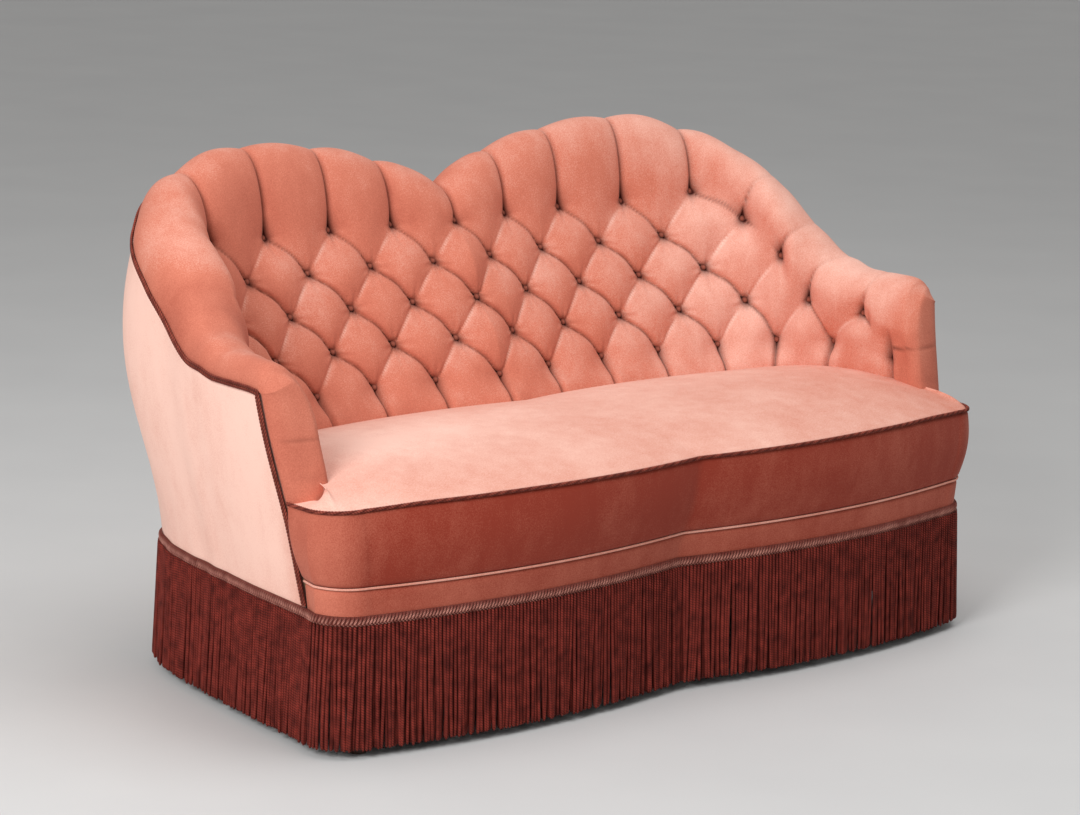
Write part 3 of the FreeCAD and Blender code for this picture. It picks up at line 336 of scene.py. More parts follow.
@dataclass(frozen=True)
class Wall:
    """The one sweep of the back and both arms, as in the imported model."""

    middle_y: float = -0.1734
    hump_height: float = 0.780
    line_depth: float = 0.3275
    lobe_radius: float = 1.070
    lobe_middle: float = 0.218
    lobe_pitch: float = 0.1175
    corner_radius: float = 0.175
    arm_heading: float = math.radians(81.5)
    arm_pitch: float = 0.114
    button_height: float = 0.413
    row_rise: float = 0.057
    arm_climb: float = 0.009
    lean: float = 0.55
    front_rake: float = 0.176
    tuft_depth: float = 0.026
    wall_reach: float = 0.205
    corner_bulge: float = 0.040
    edge_drop: float = 0.037
    heading_top: float = 0.207
    corner_start: float = 4.0
    corner_end: float = 6.0
    rake_start: float = 6.5
    arm_front: float = 7.3
    front_belly: float = 0.010
    belly_drop: float = 0.174
    belly_half: float = 0.09
    swell_power: float = 1.36
    stations: Tuple[float, ...] = (0, 0.5, 1, 2, 3, 4, 4.5, 5, 5.5, 6, 6.5, 7, 7.3)
    crest_shares: Tuple[float, ...] = (
        0.892, 0.93, 0.952, 0.986, 1, 0.97, 0.922, 0.85, 0.769, 0.721, 0.707, 0.707, 0.704)
    drop_shares: Tuple[float, ...] = (1, 1, 1, 0.9, 0.85, 1.05, 1.25, 1.45, 1.4, 1.1, 1, 1, 1)
    edge_shares: Tuple[float, ...] = (1, 1, 1, 0.985, 1, 0.975, 0.88, 0.635, 0.44, 0.38, 0.35, 0.31, 0.285)
    base_shares: Tuple[float, ...] = (
        0.88, 0.85, 0.815, 0.80, 0.84, 0.83, 0.585, 0.293, 0.137, 0.083, 0.078, 0.071, 0.068)
    bulge_shares: Tuple[float, ...] = (0.12, 0.12, 0.12, 0.12, 0.2, 0.6, 1, 0.5, 0.25, 0.12, 0.1, 0.1, 0.1)
    lean_shares: Tuple[float, ...] = (1, 1, 1, 1, 1, 0.89, 0.62, 0.18, 0, 0, 0, 0, 0)
    row_shares: Tuple[float, ...] = (1, 1, 1, 1, 1, 1.05, 1.14, 1.22, 1.18, 1.02, 0.88, 0.88, 0.88)
    top_rows: Tuple[float, ...] = (4, 4, 4, 4, 4, 4, 3, 2, 1, 1, 1, 0, 0)
    pleat_counts: Tuple[float, ...] = (0, 0.5, 1, 2, 3, 4, 5, 6, 7, 7.5, 8, 8.4, 8.5)

    def along(self, shares: Sequence[float], station: Array) -> Array:
        """Shares read at stations, on a curve that never overshoots them.

        The slope at each place is the harmonic mean of the spans' slopes beside it,
        and each span eases from its start's tangent to its end's.
        """
        places, values = np.array(self.stations, float), np.array(shares, float)
        steps = np.diff(places)
        slopes = np.diff(values) / steps
        total = slopes[:-1] + slopes[1:]
        rising = slopes[:-1] * slopes[1:] > 0
        inner = np.where(rising, 2 * slopes[:-1] * slopes[1:] / np.where(rising, total, 1), 0)
        tangents = np.concatenate((slopes[:1], inner, slopes[-1:]))
        k = np.clip(np.searchsorted(places, station, side="right") - 1, 0, len(steps) - 1)
        share = (station - places[k]) / steps[k]
        start = values[k] + steps[k] * tangents[k] * share
        end = values[k + 1] - steps[k] * tangents[k + 1] * (1 - share)
        return between(start, end, smooth(share))

    def line(self, station: Array) -> Tuple[Array, Array, Array]:
        """Place of the lowest button line and the wall's heading outwards, right half."""
        first_turn = -math.asin(self.lobe_middle / self.lobe_radius)
        turn = first_turn + self.lobe_pitch / self.lobe_radius * np.minimum(station, self.corner_start)
        x = self.lobe_middle + self.lobe_radius * np.sin(turn)
        y = self.line_depth - self.lobe_radius * (1 - np.cos(turn))
        share = np.clip((station - self.corner_start) / (self.corner_end - self.corner_start), 0, 1)
        heading = between(turn, self.arm_heading, share)
        straight = self.arm_pitch * np.maximum(station - self.corner_end, 0)
        corner_x = x + self.corner_radius * (np.sin(heading) - np.sin(turn)) + straight * np.cos(heading)
        corner_y = y + self.corner_radius * (np.cos(heading) - np.cos(turn)) - straight * np.sin(heading)
        on_back = station <= self.corner_start
        heading = np.where(on_back, np.maximum(turn, 0), heading)
        return np.where(on_back, x, corner_x), np.where(on_back, y, corner_y), heading

    def crest(self, station: Array) -> Array:
        """Height of the roll's top."""
        return self.hump_height * self.along(self.crest_shares, station)

    def edge(self, station: Array) -> Array:
        """Height of the piped edge behind the roll."""
        return self.crest(station) - self.edge_drop * self.along(self.drop_shares, station)

    def edge_reach(self, station: Array) -> Array:
        """Reach of the piped edge."""
        return self.wall_reach * self.along(self.edge_shares, station)

    def outer_reach(self, station: Array, height: Array) -> Array:
        """Reach of the outside of the wall at a height: a straight slope and a swell."""
        base = self.wall_reach * self.along(self.base_shares, station)
        share = np.maximum(height - self.heading_top, 0) / (self.edge(station) - self.heading_top)
        swell = self.corner_bulge * self.along(self.bulge_shares, station)
        swell = swell * np.sin(math.pi * np.minimum(share, 1) ** self.swell_power)
        return base + (self.edge_reach(station) - base) * share + swell

    def point(self, signed: Array, reach: Array, height: Array) -> Array:
        """Points on the wall, for signed stations."""
        station = np.abs(signed)
        x, y, heading = self.line(station)
        forward = np.maximum(station - self.rake_start, 0) / (self.arm_front - self.rake_start)
        drop = self.edge(station) - np.maximum(height, self.heading_top)
        belly = self.front_belly * bell(drop - self.belly_drop, self.belly_half)
        x = x + reach * np.sin(heading)
        y = y + reach * np.cos(heading) - forward * (self.front_rake * drop + belly) + self.middle_y
        return np.stack(np.broadcast_arrays(np.where(signed < 0, -x, x), y, height), -1)

    def outwards(self, signed: Array) -> Array:
        """Level direction out of the wall."""
        heading = self.line(np.abs(signed))[2]
        side = np.where(signed < 0, -1, 1)
        return np.stack((side * np.sin(heading), np.cos(heading), np.zeros(heading.shape)), -1)

    def row_height(self, station: Array, row: Array) -> Array:
        """Height of a button row."""
        lowest = self.button_height + self.arm_climb * np.maximum(station - self.corner_start, 0)
        return lowest + row * self.row_rise * self.along(self.row_shares, station)

    def lean_at(self, station: Array) -> Array:
        """Backwards lean of the buttoned face."""
        return self.lean * self.along(self.lean_shares, station)


WALL = Wall()


@dataclass(frozen=True)
class Front:
    """The serpentine front: a plan line at the base, one at the seat's cord, a slope between."""

    base_half: float = 0.641
    base_lobe: float = 0.156
    base_notch: float = 0.127
    cord_half: float = 0.659
    cord_lobe: float = 0.183
    cord_notch: float = 0.168
    cord_top: float = 0.370
    corner_fall: float = 0.011
    welt_height: float = 0.247
    bulge: float = 0.009
    skin: float = 0.002
    rope_radius: float = 0.003
    notch_round: float = 0.35
    lobe_steps: int = 7
    corner_steps: int = 4
    base_shares: Tuple[Tuple[float, float], ...] = ((0.47, 1), (0.91, 0.81), (0.976, 0.68), (1, 0.468))
    cord_shares: Tuple[Tuple[float, float], ...] = ((0.455, 1), (0.915, 0.71), (0.971, 0.617), (1, 0.426))
    fall_shares: Tuple[float, ...] = (0, 0, 0, 0, 0.02, 0.14, 0.27, 0.68, 0.79, 0.87, 0.93, 0.97, 1)

    @property
    def seam(self) -> int:
        """Number of the step at the upright seam beside the arm."""
        return self.lobe_steps + self.corner_steps + 1

    @staticmethod
    def arc(start: Array, middle: Array, end: Array, share: Array) -> Tuple[Array, Array]:
        """Points on the circle through three plan points, and the way the line faces."""
        a, b = middle - start, end - start
        across = np.array((b[1] * a.dot(a) - a[1] * b.dot(b), a[0] * b.dot(b) - b[0] * a.dot(a)))
        centre = start + across / (2 * (a[0] * b[1] - a[1] * b[0]))
        radius = math.dist(start, centre)
        first = math.atan2(*(start - centre)[::-1])
        sweep = (math.atan2(*(end - centre)[::-1]) - first + math.pi) % FULL_TURN - math.pi
        angle = first + sweep * share
        places = centre + radius * np.stack((np.cos(angle), np.sin(angle)), -1)
        way = math.copysign(1, sweep)
        return places, way * np.stack((np.cos(angle), np.sin(angle)), -1)

    def plan(self, half: float, lobe: float, notch: float, shares: Tuple[Tuple[float, float], ...],
             step: Array) -> Tuple[Array, Array]:
        """Plan points and facings on the right half at fractional steps."""
        corners = [np.array((x * half, WALL.middle_y - y * lobe)) for x, y in shares]
        middle = np.array((0, WALL.middle_y - notch))
        lobe_share = np.clip(step / self.lobe_steps, 0, 1)
        corner_share = np.clip((step - self.lobe_steps) / self.corner_steps, 0, 1)
        on_lobe = self.arc(middle, corners[0], corners[1], lobe_share)
        on_corner = self.arc(corners[1], corners[2], corners[3], corner_share)
        choose = (step <= self.lobe_steps)[..., None]
        facing = np.where(choose, on_lobe[1], on_corner[1])
        ahead = smooth(step / self.notch_round)[..., None]
        facing = unit(between(np.array((0.0, -1.0)), facing, ahead))
        return np.where(choose, on_lobe[0], on_corner[0]), facing

    def seam_point(self, height: Array, offset: Array) -> Array:
        """Points on the upright seam between the border and the arm."""
        station = np.full(np.shape(height), WALL.arm_front)
        reach = WALL.outer_reach(station, height) - self.skin + offset
        return WALL.point(station, reach, height) - np.array((0, self.rope_radius, 0))

    def point(self, signed: Array, height: Array, offset: Array) -> Array:
        """Points on the front at signed steps, heights and offsets outwards."""
        signed, height, offset = np.broadcast_arrays(np.asarray(signed, float), height, offset)
        step = np.abs(signed)
        bounded = np.minimum(step, self.seam - 1)
        low, low_facing = self.plan(
            self.base_half, self.base_lobe, self.base_notch, self.base_shares, bounded)
        high, high_facing = self.plan(
            self.cord_half, self.cord_lobe, self.cord_notch, self.cord_shares, bounded)
        share = (np.maximum(height - WALL.heading_top, 0) / (self.cord_top - WALL.heading_top))[..., None]
        facing = unit(between(low_facing, high_facing, share))
        place = between(low, high, share) + facing * offset[..., None]
        points = np.concatenate((place, height[..., None]), -1)
        beyond = smooth(step - (self.seam - 1))[..., None]
        points = between(points, self.seam_point(height, offset), beyond)
        points[..., 0] *= np.where(signed < 0, -1, 1)
        return points

    def cord_height(self, signed: Array) -> Array:
        """Height of the cord along the seat's front edge."""
        return self.cord_top - self.corner_fall * through(self.fall_shares, np.abs(signed))

    def swell(self, signed: Array, height: Array) -> Array:
        """How far the upper border swells: a half sine between the welt and the cord."""
        share = (height - self.welt_height) / (self.cord_height(signed) - self.welt_height)
        return self.bulge * np.sin(math.pi * np.clip(share, 0, 1))

    def steps(self, lobe_parts: int, corner_parts: int) -> Array:
        """Signed steps from the left seam to the right one."""
        lobe = np.linspace(0, self.lobe_steps, self.lobe_steps * lobe_parts + 1)
        corner = np.linspace(self.lobe_steps, self.seam, (self.corner_steps + 1) * corner_parts + 1)
        return mirrored(np.concatenate((lobe, corner[1:])))


FRONT = Front()


# Finishes


class Nodes:
    """A material's node tree, with short ways to add and join nodes."""

    def __init__(self, name: str) -> None:
        """Starts an empty material that holds one Principled shader."""
        self.material = bpy.data.materials.new(name)
        self.material.use_nodes = True
        self.tree = self.material.node_tree
        self.shader = self.tree.nodes["Principled BSDF"]

    def add(self, kind: str, inputs: Optional[dict] = None, **settings: object) -> bpy.types.Node:
        """Adds a node; inputs are set by value, or joined where the value is a socket."""
        node = self.tree.nodes.new(kind)
        for name, value in settings.items():
            setattr(node, name, value)
        for key, value in (inputs or {}).items():
            self.put(node.inputs[key], value)
        return node

    def put(self, socket: bpy.types.NodeSocket, value: object) -> None:
        """Sets a socket, or joins another to it."""
        if isinstance(value, bpy.types.NodeSocket):
            self.tree.links.new(value, socket)
        else:
            socket.default_value = value

    def maths(self, operation: str, *values: object, clamp: bool = False) -> bpy.types.NodeSocket:
        """A Math node's result."""
        node = self.add("ShaderNodeMath", dict(enumerate(values)), operation=operation, use_clamp=clamp)
        return node.outputs[0]

    def place(self, scale: Tuple[float, float, float] = (1, 1, 1)) -> bpy.types.NodeSocket:
        """Object coordinates, scaled."""
        coordinates = self.add("ShaderNodeTexCoord").outputs["Object"]
        return self.add("ShaderNodeMapping", {"Vector": coordinates, "Scale": scale}).outputs[0]

    def noise(self, scale: float, detail: float = 2, stretch: Tuple[float, float, float] = (1, 1, 1),
              roughness: float = 0.5) -> bpy.types.NodeSocket:
        """A noise from 0 to 1 on Object coordinates."""
        inputs = {"Vector": self.place(stretch), "Scale": scale, "Detail": detail, "Roughness": roughness}
        return self.add("ShaderNodeTexNoise", inputs).outputs[0]

    def field(self, name: str) -> bpy.types.NodeSocket:
        """A value that the mesh carries at its points."""
        return self.add("ShaderNodeAttribute", attribute_name=name).outputs["Fac"]

    def mix(self, share: object, start: object, end: object) -> bpy.types.NodeSocket:
        """A colour between two."""
        node = self.add("ShaderNodeMix", data_type="RGBA")
        self.put(node.inputs["Factor"], share)
        for socket, value in ((node.inputs[6], start), (node.inputs[7], end)):
            self.put(socket, (*value, 1) if isinstance(value, tuple) else value)
        return node.outputs[2]

    def ramp(self, share: bpy.types.NodeSocket, low: float, high: float) -> bpy.types.NodeSocket:
        """Share stretched so that low becomes 0 and high becomes 1."""
        inputs = {"Value": share, "From Min": low, "From Max": high}
        return self.add("ShaderNodeMapRange", inputs).outputs[0]

    def varied(self, value: bpy.types.NodeSocket, noise: bpy.types.NodeSocket,
               amount: float) -> bpy.types.NodeSocket:
        """The value, more or less by up to half the amount."""
        swing = self.maths("MULTIPLY", self.maths("SUBTRACT", noise, 0.5), amount)
        return self.maths("ADD", value, swing)

    def with_painted_shade(self, colour: bpy.types.NodeSocket, fold: Rgb) -> bpy.types.NodeSocket:
        """Painted shade: the colour, drawn towards the dark fold colour where the piece's painted-shade field
        is high.
        """
        return self.mix(self.maths("MULTIPLY", self.field("painted_shade"), 0.85, clamp=True), colour, fold)

    def stripes(self, place: bpy.types.NodeSocket) -> bpy.types.NodeSocket:
        """A band for each whole number: the size of the place's sine."""
        return self.maths("ABSOLUTE", self.maths("SINE", self.maths("MULTIPLY", place, math.pi)))

    def bump(self, height: bpy.types.NodeSocket, distance: float, strength: float = 1,
             under: Optional[bpy.types.NodeSocket] = None) -> bpy.types.NodeSocket:
        """A bumped normal."""
        inputs = {"Height": height, "Distance": distance, "Strength": strength}
        if under is not None:
            inputs["Normal"] = under
        return self.add("ShaderNodeBump", inputs).outputs[0]

    def finish(self, **inputs: object) -> bpy.types.Material:
        """Sets or joins the shader's sockets, named with underscores for spaces."""
        for name, value in inputs.items():
            socket = self.shader.inputs[name.replace("_", " ")]
            self.put(socket, (*value, 1) if isinstance(value, tuple) and len(value) == 3 else value)
        return self.material


@dataclass(frozen=True)
class Velvet:
    """Cut velvet, its colour carrying painted light and shade.

    The piece's pile-and-light field says how pale it is: partly from the pile's lie, partly painted light
    where it faces the lamps or looks up, and painted shade where it faces away. Its painted-shade field draws
    it towards a dark colour in folds, pits and seams.
    """

    name: str = "pink_velvet"
    deep: Rgb = (0.29, 0.038, 0.020)
    rosy: Rgb = (0.62, 0.195, 0.125)
    pale: Rgb = (0.94, 0.60, 0.50)
    # The dark colour that painted shade draws the velvet towards.
    fold: Rgb = (0.055, 0.008, 0.005)
    patch_amount: float = 0.36
    brush_amount: float = 0.17
    grain_amount: float = 0.42
    roughness: float = 0.82
    sheen: float = 0.11

    def make(self) -> bpy.types.Material:
        """Builds the material: three noises vary the pile-and-light value at random, and a ramp turns it into
        a colour from deep through rosy to pale, which paints light and shade.
        """
        nodes = Nodes(self.name)
        patches = nodes.noise(7, 3, roughness=0.6)
        brushed = nodes.noise(42, 3, (1, 1, 0.35))
        grain = nodes.noise(560, 2)
        pile_and_light = nodes.field("pile_and_light")
        for noise, amount in ((patches, self.patch_amount), (brushed, self.brush_amount),
                              (grain, self.grain_amount)):
            pile_and_light = nodes.varied(pile_and_light, noise, amount)
        # Painted light and shade: the pile-and-light value picks the colour from deep through rosy to pale.
        lower = nodes.mix(nodes.ramp(pile_and_light, 0, 0.5), self.deep, self.rosy)
        colour = nodes.mix(nodes.ramp(pile_and_light, 0.5, 1), lower, self.pale)
        normal = nodes.bump(grain, 0.0006, 0.35)
        normal = nodes.bump(brushed, 0.002, 0.25, normal)
        # Painted shade: the colour is drawn towards the fold colour where the piece's painted-shade field is
        # high.
        return nodes.finish(Base_Color=nodes.with_painted_shade(colour, self.fold), Roughness=self.roughness,
                            Normal=normal, Specular_IOR_Level=0.15, Sheen_Weight=self.sheen,
                            Sheen_Roughness=0.45, Sheen_Tint=(1, 0.80, 0.72))


@dataclass(frozen=True)
class TwistedYarn:
    """Silky yarn laid in strands, with painted shade in the grooves between its strands and threads and where
    the piece's painted-shade field is high.

    The UV map is the share round and the length along.
    """

    name: str
    dark: Rgb
    light: Rgb
    lay: float
    strands: int = 2
    depth: float = 0.0006
    sheen: float = 0.08
    threads: int = 5
    thread_turns: float = -9.0
    thread_relief: float = 0.18
    roundness: float = 0.6

    def make(self) -> bpy.types.Material:
        """Builds the material: bands that climb round the strand, and threads finer than them, pale on their
        ridges and dark in their grooves as painted light and shade.
        """
        nodes = Nodes(self.name)
        place = nodes.add("ShaderNodeSeparateXYZ", {0: nodes.add("ShaderNodeUVMap", uv_map="lay").outputs[0]})
        around, along = place.outputs[0], place.outputs[1]
        turns = nodes.maths("MULTIPLY", around, float(self.strands))
        band = nodes.stripes(nodes.maths("MULTIPLY_ADD", along, self.strands / self.lay, turns))
        turns = nodes.maths("MULTIPLY", around, self.thread_turns)
        thread = nodes.maths("MULTIPLY_ADD", along, self.threads * self.strands / self.lay, turns)
        swell = nodes.maths("POWER", band, self.roundness)
        relief = nodes.maths("MULTIPLY_ADD", nodes.stripes(thread), self.thread_relief, swell)
        uneven = nodes.ramp(nodes.noise(60, 2), 0.1, 0.75)
        # Painted light and shade: pale on the ridges of strands and threads, dark in the grooves between
        # them, varied at random by a noise; then drawn dark by the painted-shade field.
        share = nodes.maths("MULTIPLY", nodes.ramp(relief, 0.25, 1.15), uneven, clamp=True)
        colour = nodes.with_painted_shade(nodes.mix(share, self.dark, self.light), self.dark)
        return nodes.finish(Base_Color=colour, Roughness=0.6, Normal=nodes.bump(relief, self.depth),
                            Specular_IOR_Level=0.12, Sheen_Weight=self.sheen, Sheen_Roughness=0.4,
                            Sheen_Tint=(1, 0.6, 0.5))


@dataclass(frozen=True)
class Timber:
    """Wood with long grain along one axis."""

    name: str
    dark: Rgb
    light: Rgb
    roughness: float
    stretch: Tuple[float, float, float] = (0.12, 1, 1)
    coat: float = 0.0

    def make(self) -> bpy.types.Material:
        """Builds the material: stretched noise for the grain, finer noise for the pores."""
        nodes = Nodes(self.name)
        grain = nodes.noise(90, 4, self.stretch)
        pores = nodes.noise(700, 2, self.stretch)
        streaks = nodes.maths("MULTIPLY", nodes.ramp(grain, 0.3, 0.7), 0.7)
        share = nodes.maths("MULTIPLY_ADD", pores, 0.3, streaks, clamp=True)
        colour = nodes.mix(share, self.dark, self.light)
        return nodes.finish(Base_Color=colour, Roughness=self.roughness, Coat_Weight=self.coat,
                            Normal=nodes.bump(pores, 0.0003, 0.4), Coat_Roughness=0.2)


@dataclass(frozen=True)
class PlainWeave:
    """Coarse cloth: threads over and under along two axes."""

    name: str
    dark: Rgb
    light: Rgb
    thread: float
    roughness: float = 0.9

    def make(self) -> bpy.types.Material:
        """Builds the material: the product of two sines across the cloth."""
        nodes = Nodes(self.name)
        place = nodes.add("ShaderNodeSeparateXYZ", {0: nodes.place()})
        waves = []
        for axis in range(2):
            angle = nodes.maths("MULTIPLY", place.outputs[axis], math.pi / self.thread)
            waves.append(nodes.maths("SINE", angle))
        weave = nodes.ramp(nodes.maths("MULTIPLY", *waves), -1, 1)
        slubs = nodes.ramp(nodes.noise(260, 2), 0.2, 0.8)
        colour = nodes.mix(nodes.maths("MULTIPLY", weave, slubs), self.dark, self.light)
        return nodes.finish(Base_Color=colour, Roughness=self.roughness, Specular_IOR_Level=0.2,
                            Normal=nodes.bump(weave, 0.0006, 0.7))


@dataclass(frozen=True)
class Steel:
    """Drawn steel, dulled in places."""

    name: str
    bright: Rgb
    dull: Rgb

    def make(self) -> bpy.types.Material:
        """Builds the material: noise sets the roughness and tint."""
        nodes = Nodes(self.name)
        wear = nodes.ramp(nodes.noise(120, 3), 0.35, 0.7)
        return nodes.finish(Base_Color=nodes.mix(wear, self.bright, self.dull), Metallic=1.0,
                            Roughness=nodes.maths("MULTIPLY_ADD", wear, 0.3, 0.3))


@dataclass(frozen=True)
class Hair:
    """Curled hair stuffing: tangled fibres."""

    name: str = "hair_stuffing"
    dark: Rgb = (0.035, 0.022, 0.014)
    light: Rgb = (0.16, 0.11, 0.07)

    def make(self) -> bpy.types.Material:
        """Builds the material: two noises stretched across each other."""
        nodes = Nodes(self.name)
        fibres = nodes.maths("MAXIMUM", nodes.noise(240, 4, (1, 0.2, 1)), nodes.noise(240, 4, (0.2, 1, 0.6)))
        colour = nodes.mix(nodes.ramp(fibres, 0.4, 0.75), self.dark, self.light)
        return nodes.finish(Base_Color=colour, Roughness=0.9, Normal=nodes.bump(fibres, 0.002, 0.8))


FINISHES = {
    Slot.VELVET: Velvet(),
    Slot.CORD: TwistedYarn("rust_cord", (0.075, 0.010, 0.007), (0.46, 0.105, 0.068), 0.010),
    Slot.FRINGE: TwistedYarn("rust_fringe", (0.030, 0.0025, 0.002), (0.36, 0.050, 0.034), 0.0075,
                             depth=0.0008, sheen=0.03),
    Slot.BRAID: TwistedYarn("pink_braid", (0.13, 0.016, 0.011), (0.90, 0.42, 0.33), 0.004),
    Slot.BEECH: Timber("beech", (0.42, 0.25, 0.13), (0.62, 0.42, 0.25), 0.6),
    Slot.DARK_WOOD: Timber("dark_wood", (0.020, 0.009, 0.005), (0.075, 0.032, 0.016), 0.35,
                           (1, 1, 0.12), 0.3),
    Slot.HAIR: Hair(),
    Slot.HESSIAN: PlainWeave("hessian", (0.23, 0.15, 0.08), (0.52, 0.38, 0.22), 0.0016),
    Slot.WEBBING: PlainWeave("jute_webbing", (0.20, 0.12, 0.06), (0.50, 0.34, 0.19), 0.0025),
    Slot.SPRING: Steel("spring_steel", (0.42, 0.40, 0.38), (0.20, 0.17, 0.14)),
    Slot.BOLT: Steel("bolt_steel", (0.55, 0.54, 0.52), (0.30, 0.28, 0.26)),
    Slot.CAMBRIC: PlainWeave("black_cambric", (0.010, 0.010, 0.011), (0.035, 0.034, 0.036), 0.0008),
}
MATERIALS: Dict[Slot, bpy.types.Material] = {slot: finish.make() for slot, finish in FINISHES.items()}


def dress(piece: bpy.types.Object, slot: Slot, *nodes: str) -> bpy.types.Object:
    """Gives a new piece its finish and hides the nodes that it stands for."""
    piece.data.materials.append(MATERIALS[slot])
    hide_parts(*nodes)
    log.info("%s: %d faces, in %s", piece.name, len(piece.data.polygons), slot.value)
    return piece


def velvet_piece(name: str, rings: Array, painted_shade: Array, pile_and_light: Array, nodes: Sequence[str],
                 turned: Optional[Array] = None) -> bpy.types.Object:
    """Makes one closed velvet piece from its rings.

    Args:
        name: The piece's name.
        rings: Points as (ring, side, xyz).
        painted_shade: How much painted shade each point gets in folds, pits and seams, or a value that
            spreads over all.
        pile_and_light: How pale each point is, from the pile's lie and painted light and shade, or a value
            that spreads over all.
        nodes: The nodes that it stands for.
        turned: Quads to part on their other diagonal, as (ring, side).

    Returns:
        The new object, in its finish.
    """
    shape = rings.shape[:2]
    fields = {"painted_shade": np.broadcast_to(painted_shade, shape)[None], "pile_and_light": np.broadcast_to(pile_and_light, shape)[None]}
    return dress(ring_piece(name, rings[None], fields, turned=turned), Slot.VELVET, *nodes)


def level_rings(sides: int, outward: Array, run: Array, flatness: float = 1.0) -> Array:
    """Level directions round each place, as (place, 1, side, xyz); flatness scales the outward part."""
    angle = angles(sides)
    return (np.cos(angle)[None, None, :, None] * outward[:, None, None] * flatness
            + np.sin(angle)[None, None, :, None] * run[:, None, None])


# Sub-assemblies


